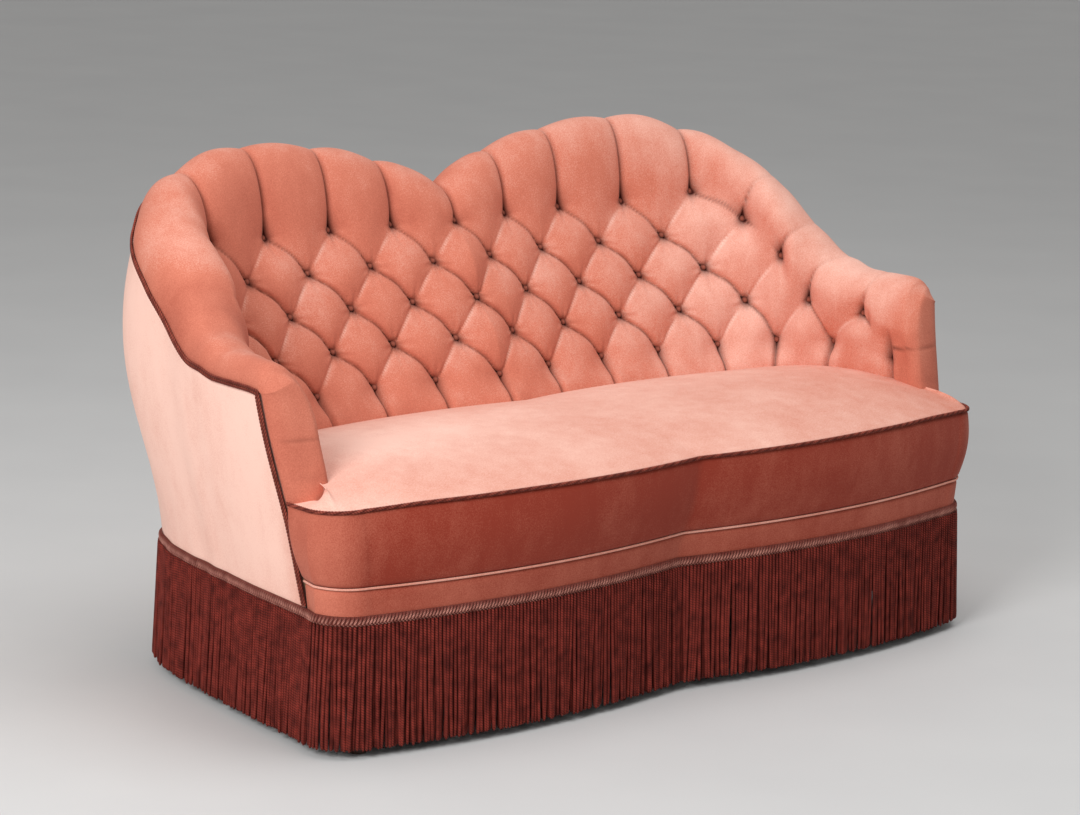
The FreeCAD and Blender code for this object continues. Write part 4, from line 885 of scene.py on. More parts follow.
@dataclass
class ButtonedInside:
    """The deep-buttoned inside of the back and arms, its roll and the arms' rounded fronts."""

    parts_per_pitch: int = 36
    face_rows: int = 4
    tuck_rows: int = 8
    roll_rows: int = 44
    nose_rings: int = 14
    tuck_height: float = 0.345
    nose_depth: float = 0.020
    nose_pile_and_light: float = 0.31
    nose_belly: float = 0.008
    crest_place: float = 0.56
    roll_front: float = 0.6
    pleat_sink: float = 0.008
    back_depth: float = 0.032
    tuft_power: float = 0.6
    low_fill: float = 0.55
    roll_slant: float = 0.36
    front_round: float = 0.12
    round_depth: float = 0.008
    last_button: float = 7.0
    front_parts: int = 16
    deep_bend: float = 0.05
    faint_bend: float = 0.035
    own_share: float = 0.12
    upright_fold: float = 0.3
    upright_width: float = 0.05
    wrinkle_depth: float = 0.0021
    wrinkle_reach: float = 0.022
    wrinkle_start: float = 0.009
    deep_fold: float = 0.0040
    faint_fold: float = 0.0015
    fold_width: float = 0.026
    faint_width: float = 0.03
    pit_reach: float = 0.0085
    fold_shade: float = 0.62
    fold_shade_width: float = 0.023
    pit_shade: float = 1.15
    glow: float = 0.26
    slant_end: float = 6.2
    slant_fade: float = 0.6
    left_flatness: float = 0.95
    right_flatness: float = 0.78
    flat_start: float = 4.1
    panel_power: float = 0.45
    pleat_cut: float = 0.002
    settle_angle: float = 0.3
    roll_shade: float = 0.75
    roll_end: float = 0.95
    level_climb: float = 0.002
    level_shade: float = 0.7
    level_start: float = 7.02
    nose_gap: float = 0.001
    pinch_shade: float = 260.0
    pleat_fold: float = 0.003
    ease_reach: int = 12
    level_width: float = 0.0022
    nose_width: float = 0.05
    belly_height: float = 0.395
    belly_width: float = 0.045
    pinches: Tuple[Tuple[float, float, float], ...] = ((0.0014, 0.445, 0.0022), (0.0008, 0.392, 0.0025))
    # Painted light: places that look up are paler and those that look down darker, less so at the left arm's
    # front.
    top_light_level: float = 0.35
    top_light: float = 0.17
    front_top_light: float = 0.02
    # Paleness along the wall, from the pile's lie and painted light and shade.
    pile_and_light_places: Tuple[float, ...] = (-7.3, -5.3, -4.9, -4, 0, 1, 3, 4.5, 5.5, 7, 7.3)
    pile_and_light_values: Tuple[float, ...] = (0.42, 0.34, 0.52, 0.45, 0.45, 0.49, 0.57, 0.66, 0.70, 0.60, 0.50)

    def stations(self) -> Array:
        """Signed stations from one arm's front to the other's; the pleats' crossings lie on them."""
        step = 1 / self.parts_per_pitch
        whole = np.arange(0, self.last_button + step / 2, step)
        front = np.linspace(self.last_button, WALL.arm_front, self.front_parts + 1)[1:]
        return mirrored(np.concatenate((whole, front)))

    def ridge(self, count: Array, power: Optional[float] = None) -> Array:
        """Height between pleats: a sine's size to a power, so that it is sharp at the pleats."""
        return np.abs(np.sin(math.pi * count)) ** (power or self.tuft_power)

    @staticmethod
    def groove(count: Array, width: float) -> Array:
        """One on a pleat, falling to nothing beside it: a bell over the distance to a whole number."""
        return bell(count - np.round(count), width)

    def tufts(self, station: Array, row: Array, left: Array) -> Tuple[Array, Array]:
        """Depth of the stuffing in front of the buttons, and the painted shade at each place.

        Two families of pleats cross at the buttons. Each tuft is the mean of its two
        ridges, pulled in along the folds, a little different from its neighbours and
        drawn into short wrinkles round each button. Painted shade darkens the button pits
        and, seen from the front, the folds that run down to the right; the others get a
        painted highlight, which a painted shade below nothing says.
        """
        up = np.maximum(row, 0) / 2
        falling, rising = station + up, station - up
        on_face = smooth(row * 3)
        falling_bend = np.where(left, self.faint_bend, self.deep_bend)
        rising_bend = np.where(left, self.deep_bend, self.faint_bend)
        bent_falling = falling - falling_bend * np.sin(math.pi * rising) ** 2 * on_face
        bent_rising = rising + rising_bend * np.sin(math.pi * falling) ** 2 * on_face
        deep, faint = np.where(left, bent_rising, bent_falling), np.where(left, bent_falling, bent_rising)
        swell = (self.ridge(deep) + self.ridge(faint, 1.0)) / 2
        own = scattered(np.floor(falling), np.floor(rising)) - 0.5
        middle = (np.sin(math.pi * falling) * np.sin(math.pi * rising)) ** 2
        swell = swell * (1 + self.own_share * own * middle)
        full = 1 - self.upright_fold * self.groove(station, self.upright_width)
        swell = between(swell, full, smooth(-row / self.low_fill))
        across = (falling - np.round(falling) + rising - np.round(rising)) / 2
        climb = falling - np.round(falling) - (rising - np.round(rising))
        east, north = across * WALL.lobe_pitch, climb * WALL.row_rise
        distance, angle = np.hypot(east, north), np.arctan2(north, east)
        wrinkle = self.wrinkle_depth * np.sin(9 * angle + 6 * own) * bell(distance, self.wrinkle_reach)
        wrinkle = wrinkle * smooth(distance / self.wrinkle_start) * on_face
        fold = self.deep_fold * self.groove(deep, self.fold_width)
        fold = fold + self.faint_fold * self.groove(faint, self.faint_width)
        pit = bell(distance, self.pit_reach) * smooth(row + 0.6)
        # Painted shade in the deep folds and the button pits, and a painted highlight along the faint folds.
        dark = self.fold_shade * self.groove(deep, self.fold_shade_width) + self.pit_shade * pit
        glow = self.glow * self.groove(faint, self.fold_width) * np.sin(math.pi * deep) ** 2 * on_face
        return WALL.tuft_depth * swell - fold * (swell < 0.9) + wrinkle, dark - glow

    def section(self, signed: Array) -> Tuple[Array, Array, Array]:
        """Reach and height from the tuck up the face and over the roll to the piped edge.

        The face leans back and carries the tufts. The roll is a quarter of an ellipse
        up to the crest and another down to the edge, with a pleat from each top button.

        Args:
            signed: Signed stations, one per row.

        Returns:
            Reach, height and crease, as (station, place).
        """
        u = np.abs(signed)[:, None]
        step = 1 / (self.parts_per_pitch / 2)
        low = np.linspace(-1, 0, self.tuck_rows + 1)[:-1]
        rows = np.concatenate((low, np.arange(0, self.face_rows + self.roll_rows * step + step / 2, step)))
        place = rows[None, :]
        top = WALL.along(WALL.top_rows, u)
        spacing = WALL.row_height(u, 1) - WALL.row_height(u, 0)
        tuck = (WALL.row_height(u, 0) - self.tuck_height) / spacing
        row = np.where(place < 0, place * tuck, np.minimum(place, top))
        swell, painted_shade = self.tufts(u, row, signed[:, None] < 0)
        lean = WALL.lean_at(u)
        height = WALL.row_height(u, row)
        base = lean * (height - WALL.row_height(u, 0))
        reach = base - swell
        share = np.clip((place - top) / (rows[-1] - top), 0, 1)
        slant = self.roll_slant * smooth(u - WALL.corner_start)
        slant = slant * (1 - smooth((u - self.slant_end) / self.slant_fade))
        count = WALL.along(WALL.pleat_counts, np.maximum(u - slant * smooth(share / self.roll_front), 0))
        flat = np.where(signed[:, None] < 0, self.left_flatness, self.right_flatness)
        flat = flat * smooth((u - self.flat_start) / 0.6) * smooth(share / 0.3)
        pleat = self.groove(count, self.fold_width) * (1 - flat)
        panel = between(self.ridge(count, self.panel_power), 1, flat)
        edge_reach, edge = WALL.edge_reach(u), WALL.edge(u)
        start_height = WALL.row_height(u, top)
        start_base = lean * (start_height - WALL.row_height(u, 0))
        crest_reach = start_base + self.crest_place * (edge_reach - start_base)
        sink = self.pleat_sink * (1 - panel) + self.pleat_cut * pleat
        crest = WALL.crest(u) - sink
        front_angle = math.pi / 2 * np.clip(share / self.roll_front, 0, 1)
        settle = np.clip(front_angle / self.settle_angle, 0, 1) ** 0.5
        full = between(swell, WALL.tuft_depth * panel - self.pleat_fold * pleat, settle)
        front_reach = crest_reach - (crest_reach - start_base + full) * np.cos(front_angle)
        front_height = start_height + (crest - start_height) * np.sin(front_angle)
        rear_angle = math.pi / 2 * np.clip((1 - share) / (1 - self.roll_front), 0, 1)
        rear_reach = crest_reach + (edge_reach - crest_reach) * np.cos(rear_angle)
        rear_height = edge + (crest - edge) * np.sin(rear_angle)
        on_front, on_rear = (share > 0) & (share <= self.roll_front), share > self.roll_front
        reach = np.where(on_rear, rear_reach, np.where(on_front, front_reach, reach))
        height = np.where(on_rear, rear_height, np.where(on_front, front_height, height))
        # Painted shade in the roll's pleats, fading towards the edge, and the tufts' painted shade and
        # highlight fading as the face turns into the roll.
        roll_painted_shade = self.roll_shade * pleat * (1 - smooth(share / self.roll_end)) + painted_shade * (1 - settle)
        painted_shade = np.where(share > 0, roll_painted_shade, painted_shade)
        near_top = bell(place - top, 0.7) * self.ridge(count, 1) ** 0.5
        reach = between(reach, eased(reach, self.ease_reach), near_top)
        height = between(height, eased(height, self.ease_reach), near_top)
        rounding = 1 - np.sqrt(1 - np.clip((u - WALL.arm_front) / self.front_round + 1, 0, 1) ** 2)
        rounding = self.round_depth * rounding
        height = height - rounding * np.sin(math.pi * np.clip(share / self.roll_end, 0, 1)) ** 0.7
        # Painted shade: a thin dark line across the arm's front, at the height of the lowest button row.
        level = WALL.row_height(u, 0) + self.level_climb * (u - self.last_button) / 0.3
        line = bell(height - level, self.level_width) * smooth((u - self.level_start) / 0.06)
        painted_shade = painted_shade + self.level_shade * line
        return reach, height, painted_shade

    def nose(self, side: int) -> Tuple[Array, Array]:
        """Rings of the rounded front of an arm, from the inside edge across to the piping.

        Each point of the last section goes forwards and outwards along a flattened
        half round to the piped edge at its own height.
        """
        signed = np.array([side * WALL.arm_front])
        reach, height, _ = self.section(signed)
        reach, height = self.closed(signed, reach, height)
        edge = WALL.edge(np.abs(signed))[0]
        end_height = np.minimum(height[0], edge - self.nose_gap)
        at_front = np.full(end_height.shape, WALL.arm_front)
        end_reach = WALL.outer_reach(at_front, end_height) - self.nose_gap
        shares = np.linspace(0, 1, self.nose_rings + 1)[1:, None]
        lateral = 1 - (1 - shares) ** 1.6
        forward = self.nose_depth * np.maximum(1 - np.abs(2 * lateral ** 0.8 - 1) ** 3.2, 0) ** 0.5
        width = np.clip((end_reach - reach[0]) / self.nose_width, 0, 1)[None, :]
        pinch = sum(depth * bell(end_height - place, half) for depth, place, half in self.pinches)
        points = WALL.point(np.full(lateral.shape, side * WALL.arm_front),
                            between(reach[0], end_reach, lateral), between(height[0], end_height, lateral))
        points[..., 1] -= forward * width - pinch[None, :] * np.sin(math.pi * lateral) * (forward > 0.004)
        belly = self.nose_belly * bell(end_height - self.belly_height, self.belly_width)[None, :]
        belly = belly * np.sin(math.pi * lateral) ** 0.7
        points[..., 0] -= side * belly * (1 - lateral) * (reach[0] < 0)
        # Painted shade in the two pinches across the nose.
        painted_shade = pinch[None, :] * self.pinch_shade * np.sin(math.pi * lateral)
        return points, np.broadcast_to(painted_shade, points.shape[:2])

    def closed(self, signed: Array, reach: Array, height: Array) -> Tuple[Array, Array]:
        """The sections with the stuffing's back added, so that each goes all the way round."""
        u = np.abs(signed)[:, None]
        down = np.linspace(0, 1, 8)[None, :]
        back_height = between(WALL.edge(u) - 0.004, self.tuck_height, down)
        back_reach = WALL.outer_reach(u, back_height) - self.back_depth
        return np.hstack((reach, back_reach)), np.hstack((height, back_height))

    def turned(self, signed: Array, shape: Tuple[int, ...], ends: int) -> Array:
        """Marks the quads whose nearest pleat runs along their other diagonal."""
        place = (np.arange(shape[1]) + 0.5 - self.tuck_rows) * 2 / self.parts_per_pitch
        middle = (signed[:-1, None] + signed[1:, None]) / 2
        falling, rising = middle + place / 2, middle - place / 2
        marks = np.zeros((shape[0] - 1, shape[1]), bool)
        marks[ends:-ends] = np.abs(falling - np.round(falling)) < np.abs(rising - np.round(rising))
        return marks

    def build(self) -> None:
        """Makes the one velvet piece."""
        signed = self.stations()
        reach, height, painted_shade = self.section(signed)
        faces = reach.shape[1]
        reach, height = self.closed(signed, reach, height)
        rings = WALL.point(signed[:, None], reach, height)
        painted_shade = np.hstack((painted_shade, np.zeros((len(signed), rings.shape[1] - faces))))
        right, right_painted_shade = self.nose(1)
        left, left_painted_shade = self.nose(-1)
        rings = np.concatenate((left[::-1], rings, right))
        painted_shade = np.concatenate((left_painted_shade[::-1], painted_shade, right_painted_shade))
        facing = unit(np.cross(np.gradient(rings, axis=0), np.gradient(rings, axis=1)))
        # Paleness along the wall and out to the noses: the pile's lie with painted light and shade.
        pile_and_light_values = np.interp(signed, self.pile_and_light_places, self.pile_and_light_values)
        ahead = smooth(np.linspace(0, 1, len(right)))
        left_pile_and_light, right_pile_and_light = (between(pile_and_light, self.nose_pile_and_light, ahead) for pile_and_light in (pile_and_light_values[0], pile_and_light_values[-1]))
        pile_and_light = np.concatenate((left_pile_and_light[::-1], pile_and_light_values, right_pile_and_light))[:, None]
        # Painted light: places that look up are paler, those that look down darker.
        lifts = (self.front_top_light, self.top_light)
        upward = np.interp(rings[:, 0, 1] - WALL.middle_y, (0, 0.11), lifts)[:, None]
        lift = np.where(rings[..., 0] < 0, upward, self.top_light)
        pile_and_light = pile_and_light + lift * (facing[..., 2] - self.top_light_level)
        # Painted highlight: painted shade below nothing becomes extra paleness.
        pile_and_light, painted_shade = pile_and_light + np.maximum(-painted_shade, 0), np.maximum(painted_shade, 0)
        turned = self.turned(signed, rings.shape, len(left))
        piece = velvet_piece("inside_velvet", rings, painted_shade, pile_and_light, (
            "inside_back_cover", "right_inside_arm_cover", "left_inside_arm_cover",
            "back_stuffing", "right_arm_stuffing", "left_arm_stuffing",
            "right_arm_front_facing", "left_arm_front_facing"), turned)


@dataclass
class Buttons:
    """Velvet-covered buttons, sunk where the pleats cross."""

    radius: float = 0.0056
    dome: float = 0.0030
    seat: float = 0.0026
    sides: int = 10
    rise_shares: Tuple[float, ...] = (-0.5, 0, 0.45, 0.8, 0.97)
    spread_shares: Tuple[float, ...] = (0.55, 1, 0.92, 0.6, 0.2)
    shades: Tuple[float, ...] = (1.1, 1.1, 1.0, 0.8, 0.6)
    pile_and_light: float = 0.40
    limits: Tuple[float, ...] = (7, 6.5, 5, 4.5, 4)

    def build(self) -> None:
        """Makes all the buttons as one piece: flattened domes that face out of the wall."""
        right = [(station, row) for row, limit in enumerate(self.limits)
                 for station in np.arange((row % 2) / 2, limit + 0.1)]
        places = np.array(right + [(-station, row) for station, row in right if station])
        signed, row = places.T
        station = np.abs(signed)
        lean = WALL.lean_at(station)
        tilt = np.arctan(lean)
        height = WALL.row_height(station, row)
        seat = WALL.point(signed, lean * (height - WALL.row_height(station, 0)), height)
        facing = -WALL.outwards(signed) * np.cos(tilt)[:, None]
        facing[:, 2] = np.sin(tilt)
        across = unit(np.cross(facing, UP))
        up = np.cross(across, facing)
        rise = np.array(self.rise_shares) * self.dome + self.seat
        spread = np.array(self.spread_shares) * self.radius
        angle = angles(self.sides)
        ring = spread[:, None, None] * np.stack((np.cos(angle), np.sin(angle)), -1)[None]
        rings = (seat[:, None, None] + rise[None, :, None, None] * facing[:, None, None]
                 + ring[None, ..., :1] * across[:, None, None] + ring[None, ..., 1:] * up[:, None, None])
        shape = rings.shape[:3]
        # Painted shade: the buttons are darkest at their base and sides, less so on top.
        shade = np.broadcast_to(np.array(self.shades)[None, :, None], shape)
        piece = ring_piece("velvet_buttons", rings, {"painted_shade": shade, "pile_and_light": np.full(shape, self.pile_and_light)})
        dress(piece, Slot.VELVET, "covered_buttons")


@dataclass
class OutsideCovers:
    """The smooth velvet over the outside of the arms and back."""

    bottom: float = 0.115
    skin: float = 0.002
    parts_per_pitch: int = 8
    rows: int = 26
    tuck: float = 0.008
    pile_and_light: float = 0.97
    front_stations: Tuple[float, ...] = (7.1, 7.2, 7.26, WALL.arm_front)

    def build(self) -> None:
        """Makes the one piece: the wall's outer face and a lining just inside it."""
        whole = np.arange(0, 7 + 0.01, 1 / self.parts_per_pitch)
        signed = mirrored(np.concatenate((whole, self.front_stations)))
        u = np.abs(signed)[:, None]
        low = np.linspace(self.bottom, WALL.heading_top, 4)[:-1]
        share = np.linspace(0, 1, self.rows)[None, :]
        height = between(WALL.heading_top, WALL.edge(u) - self.skin, share)
        ahead = smooth((u - 6.9) / 0.3) * np.ones(low.shape)
        low = between(low[None, :], WALL.heading_top - self.tuck, ahead)
        height = np.hstack((low, height))
        reach = WALL.outer_reach(u, height)
        reach = np.hstack((reach, reach[:, ::-1] - self.skin))
        height = np.hstack((height, height[:, ::-1]))
        rings = WALL.point(signed[:, None], reach, height)
        # A pale panel, from the pile's lie and painted light, a little darker low towards the arm's front,
        # with painted shade drawn dark along the front seam.
        front = smooth((u - 6.95) / 0.35) * smooth((0.42 - height) / 0.1)
        painted_shade = 1.1 * smooth((u - 7.24) / 0.06)
        velvet_piece("outside_velvet", rings, painted_shade, self.pile_and_light - 0.2 * front,
                     ("outside_back_cover", "right_outside_arm_cover", "left_outside_arm_cover"))


@dataclass
class Seat:
    """The sprung seat with its crowned velvet top, and the borders under its front edge."""

    pad_bottom: float = 0.304
    pad_inset: float = 0.012
    crown: float = 0.034
    edge_depth: float = 0.036
    border_bottom: float = 0.115
    facing_depth: float = 0.018
    rear_stations: Tuple[float, ...] = (0, 0.75, 1.45, 2.2, 3, 3.8, 4.6, 5.4, 6.3)
    rear_shares: Tuple[float, ...] = (
        1.01, 1.01, 1.01, 1.01, 1.01, 1.01, 1.015, 1.03, 1.04, 1.03, 1.01, 0.985, 0.975)
    throat_shares: Tuple[Tuple[float, float], ...] = ((0.7, 0.0), (0.9, 0.85), (1.6, 1.2))
    crown_shares: Tuple[float, ...] = (1, 1, 1, 1, 1, 0.98, 0.9, 0.66, 0.46, 0.3, 0.16, 0.08, 0.03)
    rear_tuck: float = 0.7
    throat_height: float = 0.358
    welt_gap: float = 0.0015
    edge_round: float = 0.0022
    # Pile-and-light values: the borders' low values are painted shade on faces that look forward and down,
    # with the pile's lie.
    pile_and_light: float = 0.77
    upper_pile_and_light: float = 0.03
    lower_pile_and_light: float = 0.16

    @property
    def steps(self) -> Array:
        """Signed steps along the front, shared by the seat and its borders."""
        return FRONT.steps(12, 8)

    def rear_line(self) -> Array:
        """Rear points of the seat's top, right half, one for each whole step."""
        station = np.array(self.rear_stations)
        height = FRONT.cord_top * np.array(self.rear_shares)
        lean = WALL.lean_at(station)
        reach = lean * (height[:9] - WALL.row_height(station, 0)) - self.rear_tuck * WALL.tuft_depth
        wall = WALL.point(station, reach, height[:9])
        front = WALL.point(*np.array([[WALL.arm_front], [-WALL.tuft_depth], [self.throat_height]]))[0]
        throat = [(front[0] + x * self.facing_depth, front[1] - y * self.facing_depth, height[9 + k])
                  for k, (x, y) in enumerate(self.throat_shares)]
        seam = FRONT.seam_point(height[12:], np.array([-self.edge_depth]))
        return np.concatenate((wall, throat, seam))

    def top(self, signed: Array, share: Array) -> Array:
        """Points on the seat's top, from the cord at share 0 to the tuck at share 1.

        The line from front to rear is straight, plus a crown that rises fast at both
        ends and is nearly level between them.
        """
        step = np.abs(signed)
        front = FRONT.point(signed, FRONT.cord_height(signed), -FRONT.rope_radius)
        rear = through(self.rear_line(), step)
        rear[..., 0] *= np.where(signed < 0, -1, 1)
        crown = self.crown * through(self.crown_shares, step)
        lift = crown[:, None] * (1 - np.abs(2 * share - 1) ** 2.3)
        points = between(front[:, None], rear[:, None], share[None, :, None])
        points[..., 2] += lift
        return points

    def build_top(self) -> None:
        """Makes the seat: its crowned top and the pad under it."""
        signed = self.steps
        share = (1 - np.cos(np.linspace(0, math.pi, 61))) / 2
        top = self.top(signed, share)
        under = share[::-4]
        low_front = FRONT.point(signed, np.full(signed.shape, self.pad_bottom), -self.pad_inset)
        low = between(low_front[:, None], top[:, -1:], under[None, :, None])
        low[..., 2] = self.pad_bottom
        rings = np.concatenate((top, low), 1)
        along = np.concatenate((share, np.ones(low.shape[1])))[None, :]
        x, y = rings[..., 0], rings[..., 1]
        # Painted light: paler towards the rear, darker to the right, and a pale patch at the left front, as
        # the lamps from the left would light it, over the pile's lie.
        patch = bell(x + 0.42, 0.16) * bell(y + 0.12, 0.12)
        pile_and_light = self.pile_and_light + 0.05 * smooth((along - 0.2) / 0.5) - 0.13 * smooth((x - 0.05) / 0.6) + 0.2 * patch
        # Painted shade where the top tucks in at the rear and along the cord at its front edge.
        painted_shade = 0.55 * smooth((along - 0.965) / 0.035) + 0.3 * smooth((0.012 - along) / 0.012)
        piece = velvet_piece("seat_velvet", rings, painted_shade, pile_and_light, ("seat_cover", "seat_stuffing"))

    def border(self, name: str, bottom: Array, top: Array, pile_and_light: float,
               nodes: Sequence[str]) -> bpy.types.Object:
        """Makes a velvet border between two heights round the front."""
        signed = self.steps
        share = np.linspace(0, 1, 19)[None, :]
        low, high = (np.broadcast_to(level, signed.shape)[:, None] for level in (bottom, top))
        height = between(low, high, share)
        past = np.maximum(np.abs(2 * share - 1) - 0.9, 0) ** 2 * 100
        offset = FRONT.swell(signed[:, None], height) - self.edge_round * (1 - np.sqrt(1 - past))
        both = np.hstack((height, height[:, ::-1]))
        depth = np.hstack((offset, offset[:, ::-1] - FRONT.skin))
        rings = FRONT.point(signed[:, None], both, depth)
        # Painted light: paler towards the ends, more so at the left, where the lamps reach.
        beside = smooth((np.abs(signed)[:, None] - 6.0) / 4.0)
        shade = pile_and_light + beside * np.where(rings[..., 0] < 0, 0.20, 0.08)
        # Painted shade along the upright seam beside each arm.
        painted_shade = 0.15 * smooth((np.abs(signed)[:, None] - 11.92) / 0.08)
        return velvet_piece(name, rings, painted_shade, shade, nodes)

    def build_borders(self) -> None:
        """Makes the upper and lower borders."""
        top = FRONT.cord_height(self.steps) - FRONT.rope_radius
        upper = self.border("upper_border_velvet", FRONT.welt_height + self.welt_gap, top, self.upper_pile_and_light,
                            ("upper_front_border", "front_edge_stuffing"))
        self.border("lower_border_velvet", self.border_bottom, FRONT.welt_height - self.welt_gap,
                    self.lower_pile_and_light, ("lower_front_border",))


@dataclass
class Cords:
    """Twisted cords: one along the seat's edge, two side by side round the outer edge."""

    rope_radius: float = 0.003
    rope_lay: float = 0.014
    piping_radius: float = 0.0024
    piping_lay: float = 0.010
    welt_radius: float = 0.0018
    groove: float = 0.34
    welt_pile_and_light: float = 0.66

    def twisted(self, path: Array, outward: Array, radius: float, lay: float, strands: int,
                sides: int) -> Tuple[Array, Array, Array]:
        """Rings, painted shade and lengths of a twisted cord along a path.

        The radius is full on each strand and less between them.
        """
        lengths = run_lengths(path)
        form = 1 - self.groove * (1 - np.abs(np.cos(strands * angles(sides) / 2)) ** 0.8)
        rings = tube_rings(path, outward, radius, sides, lengths / lay * FULL_TURN, form)
        # Painted shade in the grooves between the strands.
        painted_shade = np.broadcast_to((1 - form) / self.groove, rings.shape[:2])
        return rings, painted_shade, lengths

    def build_rope(self) -> None:
        """Makes the rope along the seat's front edge."""
        signed = FRONT.steps(40, 40)
        line = FRONT.point(signed, FRONT.cord_height(signed) - 0.0006, 0.0006)
        path, _, _ = evenly(line, 0.0013)
        outward = np.broadcast_to(UP, path.shape)
        rings, painted_shade, lengths = self.twisted(path, outward, self.rope_radius, self.rope_lay, 3, 12)
        piece = ring_piece("seat_edge_twist", rings[None], {"painted_shade": painted_shade[None]}, lengths[None])
        dress(piece, Slot.CORD, "seat_edge_rope")

    def build_welt(self) -> None:
        """Makes the velvet welt between the two borders."""
        signed = FRONT.steps(16, 12)
        path = FRONT.point(signed, np.full(signed.shape, FRONT.welt_height), 0.0)
        rings = tube_rings(path, np.broadcast_to(UP, path.shape), self.welt_radius, 10)
        velvet_piece("border_welt_velvet", rings, 0.0, self.welt_pile_and_light, ("border_welt",))

    def piping_line(self, strand: int) -> Tuple[Array, Array]:
        """Centres of a strand from the foot of the arm's front edge to the back's middle.

        The strands lie above each other along the top edge and one behind the other
        down the arm's front. The corner between is rounded.
        """
        out = self.piping_radius + 0.0006
        beside = 2 * self.piping_radius + 0.0003
        front = np.full(60, WALL.arm_front)
        edge = float(WALL.edge(np.array([WALL.arm_front]))[0])
        height = np.linspace(WALL.heading_top + out, edge + beside * strand - self.piping_radius, 60)
        down = WALL.point(front, WALL.outer_reach(front, np.minimum(height, edge)) + out, height)
        down[:, 1] += beside * (1 - strand)
        station = np.linspace(WALL.arm_front, self.piping_radius / WALL.lobe_pitch, 500)[1:]
        level = WALL.edge(station) + beside * strand - self.piping_radius
        top = WALL.point(station, WALL.edge_reach(station) + out, level)
        outward = WALL.outwards(np.concatenate((front, station)))
        path, _, outward = evenly(np.concatenate((down, top)), 0.00125, outward)
        return softened(path, 6), unit(outward)

    def build_piping(self) -> None:
        """Makes the double piping of each side, as one piece for each."""
        for side, name in ((1, "right"), (-1, "left")):
            lines = [self.piping_line(strand) for strand in (0, 1)]
            count = min(len(path) for path, outward in lines)
            flip = np.array((side, 1, 1))
            twists = []
            for path, outward in lines:
                path = through(path, np.linspace(0, len(path) - 1, count))
                carried = unit(through(outward, np.linspace(0, len(outward) - 1, count)))
                twists.append(self.twisted(
                    path * flip, carried * flip, self.piping_radius, self.piping_lay, 2, 8))
            rings, painted_shades, lengths = (np.stack(values) for values in zip(*twists))
            piece = ring_piece(name + "_piping_twist", rings, {"painted_shade": painted_shades}, lengths)
            dress(piece, Slot.CORD, name + "_edge_piping")


@dataclass(frozen=True)
class LoopRow:
    """One row of the braid's loops: heights below the heading's top, lean, distance out and thickness."""

    name: str
    top: float
    bottom: float
    lean: float
    out: float
    thick: float


